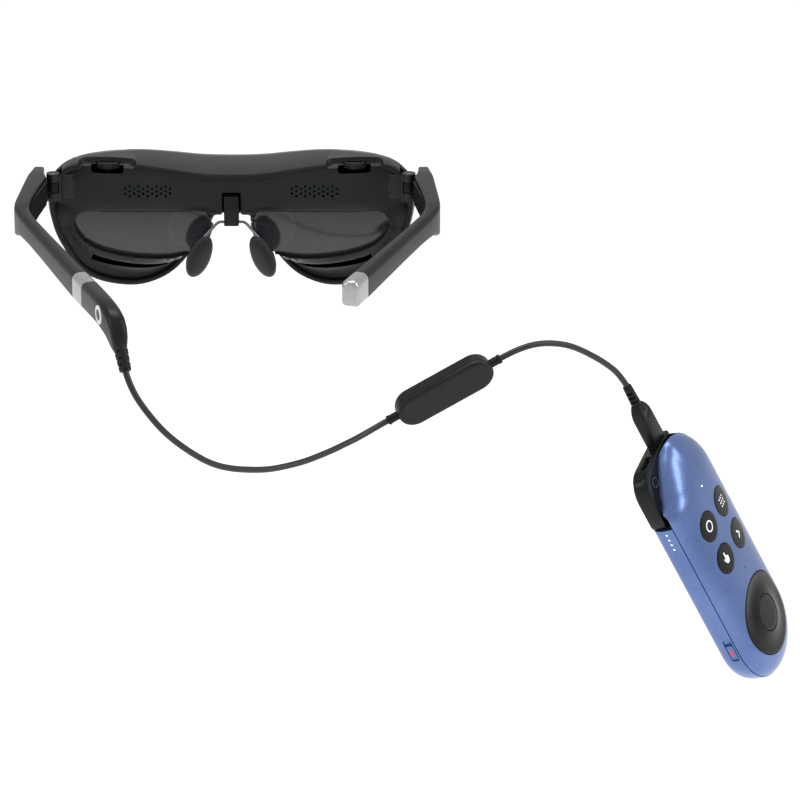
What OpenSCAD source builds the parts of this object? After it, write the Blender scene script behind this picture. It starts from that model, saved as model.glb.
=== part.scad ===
// Video glasses with a tethered hand control, worn and held.
// Origin: midway between the centres of the two nose pads. The wearer looks
// along +Y, +X is to the wearer's right and +Z is up. Millimetres.

/* [Front] */
// Reach of the front shield ahead of the nose pads, at its middle
front_reach = 36; // [34:0.5:38]
// Drop of the shield's plan curve for each square millimetre from the middle
front_curve = 0.0045; // [0.004:0.0001:0.005]
// Wall thickness of the shield
shield_wall = 1.8; // [1.4:0.1:2]
// Wall thickness of the rim behind the shield
rim_wall = 1.6; // [1.2:0.1:1.8]
// Rear face of the brow band
band_y = 9; // [8.6:0.1:9.4]
// Thickness of the brow band
band_wall = 2.5; // [2:0.1:2.8]
// Rear face of the lens frames
lens_y = 14; // [13.5:0.1:14.5]
// Thickness of the lens panels
lens_t = 1.5; // [1:0.1:1.8]

/* [Brow vents and dials] */
// Radius of one vent hole
vent_r = 0.55; // [0.4:0.05:0.6]
// Distance between columns of vent holes
vent_dx = 1.75; // [1.6:0.05:2]
// Distance between holes in one column
vent_dz = 2; // [1.8:0.1:2.2]
// Distance of the dials from the middle
dial_x = 48.2; // [47:0.1:49]
// Radius of the dials
dial_r = 4.6; // [4.2:0.1:4.6]
// Height of the dials
dial_h = 2.8; // [2:0.1:2.8]

/* [Nose piece] */
// Distance of each nose pad from the middle
pad_x = 12.2; // [11.5:0.1:13]
// Lean of the nose pads, tops together
pad_lean = 21.7; // [18:0.1:24]
// Turn of the nose pads towards the nose
pad_turn = 38; // [34:1:42]
// Height, width and thickness of a nose pad
pad_size = [10, 5, 18]; // [4:0.5:20]
// Radius of the nose wire
wire_r = 0.6; // [0.5:0.05:0.7]

/* [Temples] */
// Distance of the hinge axes from the middle
hinge_x = 69.5; // [69:0.1:70]
// Place of the hinge axes ahead of the nose pads
hinge_y = 10; // [9.8:0.1:10.2]
// Radius of the hinge pins
pin_r = 1.1; // [1:0.05:1.2]
// Radius of the hinge knuckles
knuckle_r = 2.6; // [2.4:0.1:2.6]
// Width of a temple arm at its tip
arm_w = 6.8; // [6:0.1:7]
// Height of a temple arm at its tip
arm_h = 10.2; // [9.6:0.1:10.4]
// Angle between the straight part of an arm and straight back
arm_splay = 20.3; // [19:0.1:21]
// Length of the metal band or cap on a temple tip
tip_len = 11.5; // [10:0.1:12]

/* [Cable] */
// Diameter of the cable
cable_d = 2.4; // [2.2:0.1:2.6]
// Slope of the strain relief below the arm
relief_drop = 50; // [48:1:52]
// Length, width and thickness of the inline box
inline_size = [40, 14, 7]; // [6:0.5:42]
// Width, length and thickness of the plug's grip
plug_size = [8.8, 18.4, 5.4]; // [5:0.1:19]

/* [Hand control] */
// Width of the hand control
body_w = 45.6; // [45:0.2:46]
// Length of the hand control
body_l = 111.4; // [110:0.2:112]
// Height of the crowned front above the joint axis plane
crown_n = 8.3; // [8:0.1:8.6]
// Depth of the flat back below the same plane
back_n = 7.6; // [7.4:0.1:7.8]
// Height of the seam between the two shells
seam_n = 1.8; // [1.6:0.1:2]
// Wall thickness of the shells
body_wall = 1.5; // [1.3:0.1:1.7]
// Half the distance between neighbouring keys
key_pitch = 8; // [7.8:0.1:8.2]
// Radius of the four keys
key_r = 6; // [5.8:0.1:6.1]
// Place of the middle of the four keys along the control
keys_y = 11.9; // [11:0.1:12.5]
// Place of the middle of the round pad along the control
pad_y = -30; // [-31:0.1:-29]
// Radius of the round pad
ring_r = 16.6; // [16:0.1:17]
// Radius of the pad's middle
centre_r = 7.3; // [7:0.1:7.6]

/* [Hidden] */
$fn = 48;
tau = 360;
play = 0.05;
gap = 0.3;
eps = 0.01;
visor_z0 = -30;
visor_z1 = 40;
ctl_pos = [190, -45, -108];
ctl_turn = [69, -18, 69];
inline_pos = [82.5, -85, -24];
inline_turn = [110, -27, 11];
arm_end = [51.3, -110, 26];
plug_u = 4.5;
plug_n = -3.4;
slot_u = -9.4;
module_top = 54.4;
port_depth = 7;
key_spot = [-14.2, 48.2];
relief_len = 12;
boot_tip = [-0.8, -43.9, -7];

// Route of the cable from the boot to the inline box, laid by hand.
cord_one_route = [[-32.5, -158.5, 9.3], [-30.5, -161.5, 3.5], [-26.5, -162, -2.5],
    [-22.5, -161, -8.5], [-18.5, -159, -14], [-14, -156.5, -19], [-9.5, -153.5, -23.5],
    [-4.5, -150.5, -28], [0.5, -146.5, -31.5], [5.5, -142.5, -34], [10.5, -138, -36],
    [16, -133, -38], [21, -128.5, -39], [26.5, -123.5, -39.5], [31.5, -118.5, -40],
    [36, -113, -40], [41, -107.5, -40], [45.5, -102, -39.5], [50.5, -97, -39],
    [55.5, -92, -37.5], [61.1, -89.3, -35.2]];
// Route of the cable from the inline box to the plug, laid by hand.
cord_two_route = [[104.1, -81, -12.9], [108, -80, -11], [112.5, -78.5, -9.5],
    [117, -76.5, -9], [121, -74, -9.5], [125, -71.5, -10.5], [129, -69, -12],
    [132.5, -66.5, -14], [136, -64, -16.5], [139, -61.5, -19], [142, -59, -21.5],
    [145, -56.5, -24.5], [148, -54, -27.5], [150.5, -52, -31], [152.8, -51.1, -34.9]];

// Half of the front outline, as height over distance from the middle.
half_outline = [[0, 30.5], [12, 31], [24, 32.8], [36, 34.6], [48, 35.4], [58, 35.2],
    [65, 33.2], [70, 28], [71.4, 18.5], [69.5, 8], [66, 0], [61, -9], [54, -15],
    [45, -18.6], [36, -19.6], [27, -17], [20, -11.5], [14, -3], [10, 3.5],
    [6, 9.5], [3, 12.4], [0, 13.5]];
// Outline of the right lens: straight top, rounded below.
lens_outline = [[12.5, 15.5], [30, 15.5], [50, 15.5], [58.5, 15], [62.2, 10.5],
    [60.5, 5], [55, 0], [46, -3.2], [35, -4.8], [24, -4.6], [15.5, -2], [10, 3],
    [8.3, 9], [9.3, 13.8]];

function curve_at(p, t) = 0.5 * (2 * p[1] + (p[2] - p[0]) * t
    + (2 * p[0] - 5 * p[1] + 4 * p[2] - p[3]) * t * t
    + (3 * p[1] - p[0] - 3 * p[2] + p[3]) * t * t * t);
function ring_of(pts, steps) = let (n = len(pts))
    [for (i = [0 : n - 1], k = [0 : steps - 1])
        curve_at([for (j = [-1 : 2]) pts[(i + j + n) % n]], k / steps)];
function both_sides(half) = concat(half,
    [for (i = [len(half) - 2 : -1 : 1]) [-half[i][0], half[i][1]]]);
function unit(v) = v / norm(v);
function inward(pts, d) = let (n = len(pts))
    [for (i = [0 : n - 1])
        let (t = unit(pts[(i + 1) % n] - pts[(i + n - 1) % n]))
        pts[i] + d * [t[1], -t[0]]];
front_outline = ring_of(both_sides(half_outline), 2);
lens_ring = ring_of(lens_outline, 3);
function shield_y(x) = front_reach - front_curve * x * x;

// Stands a drawing in X and Z on the plane Y = y0, thick towards +Y.
module upright(y0, thick) {
    translate([0, y0 + thick, 0]) rotate([90, 0, 0]) linear_extrude(thick) children();
}

// Everything between two offsets behind the shield's outer curve.
module curved_layer(back, ahead) {
    xs = [for (x = [-74 : 4 : 74]) x];
    front_side = [for (x = xs) [x, shield_y(x) - ahead]];
    rear_side = [for (i = [len(xs) - 1 : -1 : 0]) [xs[i], shield_y(xs[i]) - back]];
    translate([0, 0, visor_z0]) linear_extrude(visor_z1 - visor_z0)
        polygon(concat(front_side, rear_side));
}

// Room for both hinges and for the temples to swing in.
module hinge_room() {
    for (side = [-1, 1])
        translate([side * (hinge_x + 1.5) - 5, 0, 19.6]) cube([10, 14.2, 13]);
}

module at_sides() {
    children();
    mirror([1, 0, 0]) children();
}

module dial_axis() {
    translate([dial_x, 18.4, 31]) children();
}

module visor_shield() {
    color("#17181a") difference() {
        intersection() {
            upright(0, 40) polygon(front_outline);
            curved_layer(shield_wall, 0);
        }
        hinge_room();
    }
}

module rim_ring() {
    difference() {
        polygon(front_outline);
        polygon(inward(front_outline, rim_wall));
    }
}

module front_frame() {
    color("#202124") difference() {
        intersection() {
            upright(band_y, 30) rim_ring();
            union() {
                curved_layer(7, shield_wall + eps);
                intersection() {
                    translate([-80, band_y, 10]) cube([160, 16, 40]);
                    curved_layer(30, shield_wall + eps);
                }
            }
        }
        hinge_room();
        at_sides() {
            dial_axis() translate([0, 0, -1]) cylinder(h = dial_h + 1.3, r = dial_r + gap);
            translate([dial_x - 8, 0, 31.5]) cube([16, 15, 8]);
        }
        translate([-5, 0, 8]) cube([10, band_y + 9, 8]);
        translate([-8.5, 0, 5]) cube([17, 13, 8]);
    }
}

module lens_side(grow) {
    polygon(inward(lens_ring, -grow));
}

module vent_holes() {
    first = 23.8;
    for (col = [0 : 10]) {
        count = col % 2 == 0 ? 2 : 3;
        for (row = [0 : count - 1])
            translate([first + col * vent_dx, 0, 24 + (row - (count - 1) / 2) * vent_dz])
                rotate([-90, 0, 0]) cylinder(h = 20, r = vent_r, $fn = 16);
    }
}

module rear_cover() {
    inner = inward(front_outline, rim_wall + play);
    color("#2a2b2d") difference() {
        union() {
            difference() {
                upright(band_y, band_wall) polygon(inner);
                translate([-80, 0, visor_z0]) cube([160, 30, 15.5 - visor_z0]);
            }
            intersection() {
                upright(band_y, lens_y + lens_t + 1 - band_y) polygon(inner);
                translate([-64, 0, 15.5]) cube([128, 30, 2]);
                curved_layer(30, shield_wall + 0.2);
            }
            intersection() {
                upright(band_y + band_wall, lens_y + lens_t + 1 - band_y - band_wall)
                    intersection() {
                        polygon(inner);
                        union() {
                            lens_side(2.6);
                            mirror([1, 0]) lens_side(2.6);
                        }
                    }
                curved_layer(30, shield_wall + 0.2);
            }
        }
        at_sides() {
            upright(0, lens_y) lens_side(-0.6);
            upright(lens_y - eps, 20) lens_side(0.05);
            vent_holes();
            dial_axis() translate([0, 0, -1]) cylinder(h = dial_h + 2, r = dial_r + gap);
            translate([dial_x - 8, 0, 31.5]) cube([16, 15, 8]);
        }
        hinge_room();
        translate([-3.55, 0, 5]) cube([7.1, 20, 17.55]);
        at_sides() translate([57.5, band_y + band_wall - 0.5, 19.6]) cube([20, 5, 12]);
    }
}

module lens() {
    intersection() {
        upright(lens_y, lens_t) lens_side(0);
        curved_layer(30, shield_wall + 0.2);
    }
}

module lens_left() {
    color("#0c0d10") mirror([1, 0, 0]) lens();
}

module lens_right() {
    color("#0c0d10") lens();
}

// Half mirror that folds the picture from the display towards the eye.
module splitter() {
    translate([19, 17.2, 13.5]) rotate([22, 0, 0]) translate([0, 0, -14]) cube([28, 1, 14]);
}

module splitter_left() {
    color("#8d97a5") mirror([1, 0, 0]) splitter();
}

module splitter_right() {
    color("#8d97a5") splitter();
}

module display() {
    translate([22, 16.8, 18]) cube([22, 4.6, 5.5]);
}

module display_left() {
    color("#3b4048") mirror([1, 0, 0]) display();
}

module display_right() {
    color("#3b4048") display();
}

module main_board() {
    color("#1f5c3a") difference() {
        translate([-50, 12.2, 19]) cube([100, 1.2, 9.8]);
        translate([-4, 10, 15]) cube([8, 10, 8]);
    }
}

// Link of the hinge that is fixed in the front, on one side.
module hinge_lug() {
    difference() {
        union() {
            translate([0, 0, 20]) linear_extrude(10)
                polygon([[58, 11.6], [66.4, 11.6], [66.4, 8.6], [hinge_x - 1.8, 8.4],
                    [hinge_x - 1.4, 12.2], [66.6, 13.8], [58, 13.8]]);
            translate([hinge_x, hinge_y, 20]) cylinder(h = 11, r = knuckle_r);
        }
        translate([hinge_x, hinge_y, 23.2]) cylinder(h = 4.6, r = knuckle_r + gap);
        translate([hinge_x, hinge_y, 21]) cylinder(h = 20, r = pin_r);
        for (z = [22.4, 28.6])
            translate([61.5, 0, z]) rotate([-90, 0, 0]) cylinder(h = 20, r = 0.7, $fn = 24);
    }
}

module hinge_lug_left() {
    color("#1b1c1e") mirror([1, 0, 0]) hinge_lug();
}

module hinge_lug_right() {
    color("#1b1c1e") hinge_lug();
}

module hinge_pins() {
    color("silver") at_sides()
        translate([hinge_x, hinge_y, 21]) cylinder(h = 9.9, r = pin_r);
}

module bridge_block() {
    color("#232427") difference() {
        translate([-3.5, 8.4, 9.4]) cube([7, 7.6, 13]);
        translate([-10, 11, 10.6]) rotate([0, 90, 0]) cylinder(h = 20, r = wire_r);
    }
}

// Frame of the right nose pad: Z along the pad, -Y out of its soft face.
module at_pad() {
    translate([pad_x, 0, 0]) rotate([0, -pad_lean, 0]) rotate([0, 0, -pad_turn]) children();
}

// A round bar between two points, with a ball at its far end.
module bar(a, b, r) {
    v = b - a;
    flat = norm([v[0], v[1]]);
    translate(a) rotate([0, atan2(flat, v[2]), atan2(v[1], v[0])]) cylinder(h = norm(v), r = r);
    translate(b) sphere(r = r);
}

// Right half of the bent wire that carries the nose pads.
module wire_half() {
    bar([0, 11, 10.6], [4.6, 11, 10.6], wire_r);
    bar([4.6, 11, 10.6], [13.5, 3.3, 3.9], wire_r);
    at_pad() translate([0, 4.2, -1.6]) cylinder(h = 4.7, r = wire_r);
}

module nose_wire() {
    color("#4b4d50") at_sides() wire_half();
}

module frame_screws() {
    color("#8a8c8f") at_sides() for (z = [22.4, 28.6])
        translate([61.5, 11.9, z]) rotate([-90, 0, 0]) {
            cylinder(h = 1.9, r = 0.7, $fn = 24);
            translate([0, 0, 1.9]) cylinder(h = 0.6, r = 1.1, $fn = 24);
        }
}

module dial_pins() {
    color("silver") at_sides() dial_axis() {
        cylinder(h = dial_h + 0.1, r = 1);
        translate([0, 0, -1]) cylinder(h = 0.9, r = 2.4);
    }
}

// Thumb wheel with upright ribs.
module dial() {
    ribs = 26;
    dial_axis() difference() {
        translate([0, 0, 0.05]) cylinder(h = dial_h - 0.1, r = dial_r);
        translate([0, 0, -1]) cylinder(h = dial_h + 2, r = 1 + play);
        for (k = [0 : ribs - 1])
            rotate(tau * k / ribs) translate([dial_r + 0.1, 0, -1])
                cylinder(h = dial_h + 2, r = 0.35, $fn = 16);
    }
}

module dial_left() {
    color("#35373a") mirror([1, 0, 0]) dial();
}

module dial_right() {
    color("#35373a") dial();
}

module nose_pad() {
    at_pad() difference() {
        scale(pad_size / 10) sphere(r = 5, $fn = 32);
        translate([-10, 1.4, -15]) cube([20, 10, 30]);
    }
}

module nose_pad_left() {
    color("#3a3b3d") mirror([1, 0, 0]) nose_pad();
}

module nose_pad_right() {
    color("#3a3b3d") nose_pad();
}

// Backing plate with the sleeve that turns on the wire's end.
module pad_plate() {
    at_pad() difference() {
        union() {
            translate([0, 1.42, 0]) rotate([-90, 0, 0]) linear_extrude(1.2)
                scale([0.44, 0.8]) circle(r = 10);
            translate([0, 4.2, -1.4]) cylinder(h = 2.8, r = 1.3);
            translate([-0.9, 2, -1.4]) cube([1.8, 2, 2.8]);
        }
        translate([0, 4.2, -4]) cylinder(h = 8, r = wire_r + play);
    }
}

module pad_plate_left() {
    color("#222325") mirror([1, 0, 0]) pad_plate();
}

module pad_plate_right() {
    color("#222325") pad_plate();
}

// Frame of the right arm: origin at its tip, +Y forward along the arm.
module at_arm() {
    translate(arm_end) rotate([0, 0, -arm_splay]) children();
}

// Outline of the arm's end, with a rounded top.
module arm_section() {
    r = 3;
    hull() {
        for (x = [-arm_w / 2 + r, arm_w / 2 - r])
            translate([x, arm_h / 2 - r]) circle(r = r, $fn = 32);
        for (x = [-arm_w / 2 + 1.2, arm_w / 2 - 1.2])
            translate([x, -arm_h / 2 + 1.2]) circle(r = 1.2, $fn = 32);
    }
}

module arm_stub(y0, y1) {
    translate([0, y1, 0]) rotate([90, 0, 0]) linear_extrude(y1 - y0) arm_section();
}

// Tall block behind the hinge, drawn from above.
block_plan = [[77, 15], [78.6, 8], [81.4, -28], [81.2, -33], [79, -38.5],
    [72.6, -38], [75.2, -33], [75.4, -27], [70.8, 5], [72.7, 7.2], [73, 15]];

module temple_block() {
    translate([0, 0, 20]) linear_extrude(12.4) polygon(block_plan);
}

module temple_outer() {
    difference() {
        union() {
            temple_block();
            at_arm() hull() {
                arm_stub(0, 0.2);
                translate([0.4, 76.5, 1.9]) cube([4.8, 0.2, 7.6], center = true);
            }
            translate([hinge_x, hinge_y, 23.5]) cylinder(h = 4, r = knuckle_r);
            translate([hinge_x, hinge_y - 1.6, 23.5]) cube([5, 3.2, 4]);
        }
        translate([0, 0, 21.4]) linear_extrude(9.6)
            polygon([[60, 2.5], [76.6, 2.5], [79.2, -27], [60, -27]]);
        translate([hinge_x, hinge_y, 19]) cylinder(h = 20, r = pin_r + play);
    }
}

module temple_outer_left() {
    color("#1e1f21") mirror([1, 0, 0]) temple_outer();
}

module temple_outer_right() {
    color("#1e1f21") temple_outer();
}

// Cover that closes the block's pocket on the wearer's side.
module temple_inner() {
    translate([0, 0, 21.5]) linear_extrude(9.4)
        polygon([[71.2, 2.4], [72.6, 2.4], [77, -26.9], [75.5, -26.9]]);
}

module temple_inner_left() {
    color("#2b2c2e") mirror([1, 0, 0]) temple_inner();
}

module temple_inner_right() {
    color("#2b2c2e") temple_inner();
}

module speaker() {
    translate([75.5, -8, 26]) rotate([0, 0, 8.5]) cube([1.8, 13, 6.4], center = true);
}

module speaker_left() {
    color("#595b5f") mirror([1, 0, 0]) speaker();
}

module speaker_right() {
    color("#595b5f") speaker();
}

module tip_band_left() {
    color("#b5b6b8") mirror([1, 0, 0]) at_arm() arm_stub(-tip_len, 0);
}

module tip_cap_right() {
    color("#b5b6b8") at_arm() arm_stub(-tip_len, 0);
}

boot_side = [[-tip_len, 5.1], [-34, 5.1], [-40, 4], [-45, 1], [-48, -3.4], [-48.6, -6.4],
    [-47.4, -8.6], [-43.4, -11], [-40.4, -9.4], [-37.6, -6.4], [-34, -5.1], [-tip_len, -5.1]];

module cable_boot() {
    color("#1c1d1f") mirror([1, 0, 0]) at_arm() difference() {
        translate([-arm_w / 2, 0, 0]) rotate([90, 0, 90]) linear_extrude(arm_w)
            polygon(boot_side);
        translate(boot_tip) rotate([relief_drop, 0, 0]) rotate([90, 0, 0])
            cylinder(h = 10, r = 3);
        translate([arm_w / 2 - 0.4, -33, -0.4]) rotate([0, 90, 0]) cylinder(h = 2, r = 3.6);
        translate([0, -tip_len - 1.2, 0]) cube([4.2, 2.6, 6.2], center = true);
    }
}

module boot_badge() {
    color("#c9cacc") mirror([1, 0, 0]) at_arm()
        translate([arm_w / 2 - 0.4, -33, -0.4]) rotate([0, 90, 0]) difference() {
            cylinder(h = 0.6, r = 3.55);
            translate([0, 0, 0.3]) cylinder(h = 1, r = 2.1);
        }
}

// Strain relief with cut rings, along -Z from its wide end.
module relief(len_mm, r_wide, r_thin) {
    difference() {
        translate([0, 0, -len_mm]) cylinder(h = len_mm, r1 = r_thin, r2 = r_wide);
        for (k = [0 : 2])
            translate([0, 0, -len_mm * (0.9 - 0.22 * k)]) difference() {
                cylinder(h = len_mm * 0.09, r = 4);
                cylinder(h = len_mm * 0.09, r = r_thin - 0.55);
            }
    }
}

module boot_relief() {
    color("#161718") mirror([1, 0, 0]) at_arm() translate(boot_tip)
        rotate([relief_drop - 90, 0, 0]) relief(relief_len, 2.6, 2.2);
}

module boot_contacts() {
    color("#c8a24a") mirror([1, 0, 0]) at_arm() for (z = [-2 : 1 : 2])
        translate([0, -tip_len - 0.05, z]) rotate([90, 0, 0]) cylinder(h = 2, r = 0.35, $fn = 16);
}

// Tube swept along a route of points.
module cable(route, sides) {
    n = len(route);
    rings = [for (i = [0 : n - 1])
        let (t = unit(route[min(i + 1, n - 1)] - route[max(i - 1, 0)]))
        let (a = unit(cross(t, [0, 1, 0])))
        let (b = cross(t, a))
        for (k = [0 : sides - 1])
            route[i] + cable_d / 2 * (cos(tau * k / sides) * a + sin(tau * k / sides) * b)];
    walls = [for (i = [0 : n - 2], k = [0 : sides - 1])
        let (m = (k + 1) % sides)
        [i * sides + k, i * sides + m, (i + 1) * sides + m, (i + 1) * sides + k]];
    start = [[for (k = [sides - 1 : -1 : 0]) k]];
    finish = [[for (k = [0 : sides - 1]) (n - 1) * sides + k]];
    polyhedron(points = rings, faces = concat(walls, start, finish), convexity = 6);
}

module cord_one() {
    color("#2b2c2e") cable(cord_one_route, 8);
}

module cord_two() {
    color("#2b2c2e") cable(cord_two_route, 8);
}

// Frame of the inline box: X along it, +Z out of its face.
module at_inline() {
    translate(inline_pos) rotate(inline_turn) children();
}

module inline_plan(shrink) {
    w = inline_size[1] / 2 - shrink;
    half = inline_size[0] / 2 - inline_size[1] / 2;
    hull() for (x = [-half, half])
        translate([x, 0]) circle(r = w, $fn = 48);
}

module inline_bottom() {
    floor_z = -inline_size[2] / 2;
    color("#222326") at_inline() difference() {
        translate([0, 0, floor_z]) linear_extrude(4.8) inline_plan(0);
        translate([0, 0, floor_z + 1.2]) linear_extrude(8) inline_plan(1.3);
        for (side = [-1, 1]) translate([side * 20, 0, 0.2])
            rotate([0, 90, 0]) cylinder(h = 8, r = 1.7, center = true);
    }
}

module inline_top() {
    color("#27282b") at_inline() difference() {
        translate([0, 0, 1.35]) linear_extrude(inline_size[2] / 2 - 1.35) inline_plan(0);
        for (side = [-1, 1]) translate([side * 20, 0, 0.2])
            rotate([0, 90, 0]) cylinder(h = 8, r = 1.7, center = true);
    }
}

module inline_board() {
    color("#1f5c3a") at_inline() translate([-12, -4, -1.6]) cube([24, 8, 1.2]);
}

module inline_reliefs() {
    color("#1d1e20") at_inline() for (side = [0, 180])
        rotate([0, 0, side]) translate([18.9, 0, 0.2]) rotate([0, 90, 0])
            cylinder(h = 5.4, r = 1.65);
}

// Frame of the hand control: X across, Y towards its plug, Z out of its face.
module at_control() {
    translate(ctl_pos) rotate(ctl_turn) children();
}

// Ring of points round the hand control's flat oval, at one radius and height.
oval_reach = body_l / 2 - body_w / 2;
oval_steps = 24;
function oval_ring(r, z) = concat(
    [for (k = [0 : oval_steps]) let (a = 180 * k / oval_steps)
        [r * cos(a), oval_reach + r * sin(a), z]],
    [for (k = [0 : oval_steps]) let (a = 180 + 180 * k / oval_steps)
        [r * cos(a), -oval_reach + r * sin(a), z]]);

// Solid between stacked rings, given as radius and height from below.
module stack(levels) {
    n = 2 * (oval_steps + 1);
    pts = [for (l = levels) each oval_ring(l[0], l[1])];
    top = len(levels) - 1;
    walls = [for (i = [0 : top - 1], k = [0 : n - 1])
        let (m = (k + 1) % n)
        [i * n + k, (i + 1) * n + k, (i + 1) * n + m, i * n + m]];
    under = [[for (k = [0 : n - 1]) k]];
    over = [[for (k = [n - 1 : -1 : 0]) top * n + k]];
    polyhedron(points = pts, faces = concat(walls, under, over), convexity = 4);
}

// Crowned front half, pulled in by an inset.
crown_low = -1.5;
function crown_level(inset, a) = [
    (body_w / 2 - inset) * pow(sin(a), 0.77),
    crown_low + (crown_n - inset - crown_low) * pow(cos(a), 0.77)];
module crown(inset) {
    stack([for (a = [90, 72, 56, 42, 30, 20, 12, 5]) crown_level(inset, a)]);
}

module corner_cut() {
    translate([0, 0, -20]) linear_extrude(60)
        polygon([[-30, 31], [-22.6, 31], [-21.4, 34], [-19.4, 37.6], [-16, 43.4],
            [-11.6, 48], [-6.6, 51.6], [-1, 54.2], [5, 60], [-30, 60]]);
}

module key_at(u, v) {
    translate([u * key_pitch, keys_y + v * key_pitch, 0]) children();
}

module remote_front_shell() {
    color("#5a72a8") at_control() difference() {
        crown(0);
        crown(body_wall);
        translate([-40, -70, -20]) cube([80, 140, 20 + seam_n]);
        corner_cut();
        for (u = [-1, 1], v = [-1, 1])
            key_at(u, v) cylinder(h = 20, r = key_r + 0.2);
        translate([0, pad_y, 0]) cylinder(h = 20, r = ring_r + 0.25);
        translate([0.4, keys_y + 21.4, 0]) cylinder(h = 20, r = 0.45, $fn = 24);
        translate([0.4, keys_y - 19.6, 0]) cylinder(h = 20, r = 0.35, $fn = 24);
    }
}

// Plan of the black corner that holds the sockets.
module module_plan(shrink) {
    polygon([[-22 + shrink, 31 + shrink], [-22 + shrink, 46], [-20.6 + shrink, 50.6 - shrink],
        [-17.4, 53.6 - shrink], [-14, module_top - shrink], [11.4 - shrink, module_top - shrink],
        [11.4 - shrink, 36 + shrink], [-8 - shrink / 2, 36 + shrink],
        [-14 - shrink / 2, 33.6 + shrink], [-17 - shrink / 2, 31 + shrink]]);
}

module remote_back_shell() {
    half = body_w / 2;
    color("#6d84b8") at_control() difference() {
        stack([[half - 4.6, -back_n], [half - 2, -back_n + 0.9], [half - 0.8, -5.2],
            [half - 0.2, -3.2], [half - 0.1, seam_n - 0.05]]);
        stack([[half - 5.6, -back_n + body_wall], [half - 2.2, -back_n + 2.6],
            [half - 1.6, -3], [half - 1.6, seam_n + 2]]);
        translate([0, 0, -30]) linear_extrude(60) module_plan(-0.1);
        translate([-32, 30.9, -20]) cube([10.4, 32, 40]);
        translate([-32, 43, -20]) cube([14.6, 20, 40]);
        translate([-32, module_top - 1, -20]) cube([43.5, 20, 40]);
        translate([-24, -35, -2.3]) cube([4, 11, 3.6]);
        for (k = [0 : 3]) translate([-24, 28.7 - 2.33 * k, -1.6])
            rotate([0, 90, 0]) cylinder(h = 8, r = 0.45, $fn = 24);
    }
}

module port_module() {
    color("#1b1c1e") at_control() difference() {
        translate([0, 0, -back_n + 0.4]) linear_extrude(back_n - 1) module_plan(0);
        translate([0, 0, -6]) linear_extrude(4) module_plan(2);
        for (u = [slot_u, plug_u])
            translate([u, module_top, plug_n]) cube([9.2, 17, 3.2], center = true);
        translate([key_spot[0], key_spot[1], -1.55]) cylinder(h = 4, r = 2.75);
    }
}

module socket(u) {
    translate([u, module_top - port_depth / 2 - 0.4, plug_n]) difference() {
        cube([9, port_depth, 3.1], center = true);
        translate([0, 0.8, 0]) cube([8.5, port_depth, 2.7], center = true);
    }
}

module usb_sockets() {
    color("#9a9c9f") at_control() {
        socket(slot_u);
        socket(plug_u);
    }
}

module remote_board() {
    color("#1f5c3a") at_control() translate([-15, -38, 0.2]) cube([30, 72, 1.1]);
}

module battery() {
    color("#6f7378") at_control() translate([-13, -40, -5.8]) cube([26, 62, 4.8]);
}

module led_pipes() {
    color("#eef2ff") at_control() {
        for (k = [0 : 3]) translate([-22.5, 28.7 - 2.33 * k, -1.6])
            rotate([0, 90, 0]) cylinder(h = 3, r = 0.42, $fn = 24);
        translate([0.4, keys_y + 21.4, 1.4]) cylinder(h = 6.4, r = 0.42, $fn = 24);
    }
}

module remote_screws() {
    color("#8a8c8f") at_control() for (spot = [[0, -46], [13.6, 37]])
        translate([spot[0], spot[1], -back_n + body_wall + 0.05])
            cylinder(h = 5, r = 1.1, $fn = 24);
}

module port_key() {
    color("#2c2d30") at_control() translate([key_spot[0], key_spot[1], -1.1]) difference() {
        cylinder(h = 0.8, r = 2.65);
        translate([0, 0, 0.6]) cylinder(h = 1, r = 1.7);
    }
}

// Part of the crowned surface, raised a little, above a floor.
module crown_slice(lift, floor_n) {
    intersection() {
        translate([0, 0, lift]) crown(0);
        translate([-40, -70, floor_n]) cube([80, 140, 20]);
        children();
    }
}

module pad_ring() {
    color("#18191b") at_control() crown_slice(0.1, 3.6) difference() {
        translate([0, pad_y, 0]) cylinder(h = 20, r = ring_r);
        translate([0, pad_y, -1]) cylinder(h = 22, r = centre_r + 0.15);
    }
}

module pad_centre() {
    color("#141517") at_control() translate([0, pad_y, 3.6])
        cylinder(h = crown_n - 3.6, r = centre_r);
}

// Frame of the plug: Y out of the socket along the plug's axis.
module at_plug() {
    at_control() translate([plug_u, module_top, plug_n]) children();
}

module plug_overmold() {
    w = plug_size[0] / 2;
    t = plug_size[2] / 2;
    color("#202124") at_plug() intersection() {
        translate([0, 0, -t]) linear_extrude(2 * t)
            polygon([[-w, 0.2], [w, 0.2], [w, plug_size[1] - 2.4], [2.6, plug_size[1]],
                [-2.6, plug_size[1]], [-w, plug_size[1] - 2.4]]);
        translate([0, 20, 0]) rotate([90, 0, 0]) linear_extrude(30)
            polygon([[-w, -t + 0.9], [-w + 0.9, -t], [w - 0.9, -t], [w, -t + 0.9],
                [w, t - 0.9], [w - 0.9, t], [-w + 0.9, t], [-w, t - 0.9]]);
    }
}

module plug_shell() {
    color("#c4c6c8") at_plug() translate([0, 0.15 - 6.3 / 2, 0])
        cube([8.2, 6.3, 2.4], center = true);
}

module plug_relief() {
    color("#161718") at_plug() translate([0, plug_size[1] + 0.02, 0])
        rotate([90, 0, 0]) relief(9, 2, 1.75);
}

module round_key(u, v) {
    at_control() crown_slice(0.15, 4.4) key_at(u, v) cylinder(h = 20, r = key_r);
}

module button_grid() {
    color("#131416") round_key(1, 1);
}

module button_home() {
    color("#131416") round_key(-1, 1);
}

module button_back() {
    color("#131416") round_key(1, -1);
}

module button_pointer() {
    color("#131416") round_key(-1, -1);
}

module side_switch() {
    color("#4a5f94") at_control() union() {
        translate([-22.9, -33.6, -2]) cube([2.7, 6.4, 3]);
    }
}

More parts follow.
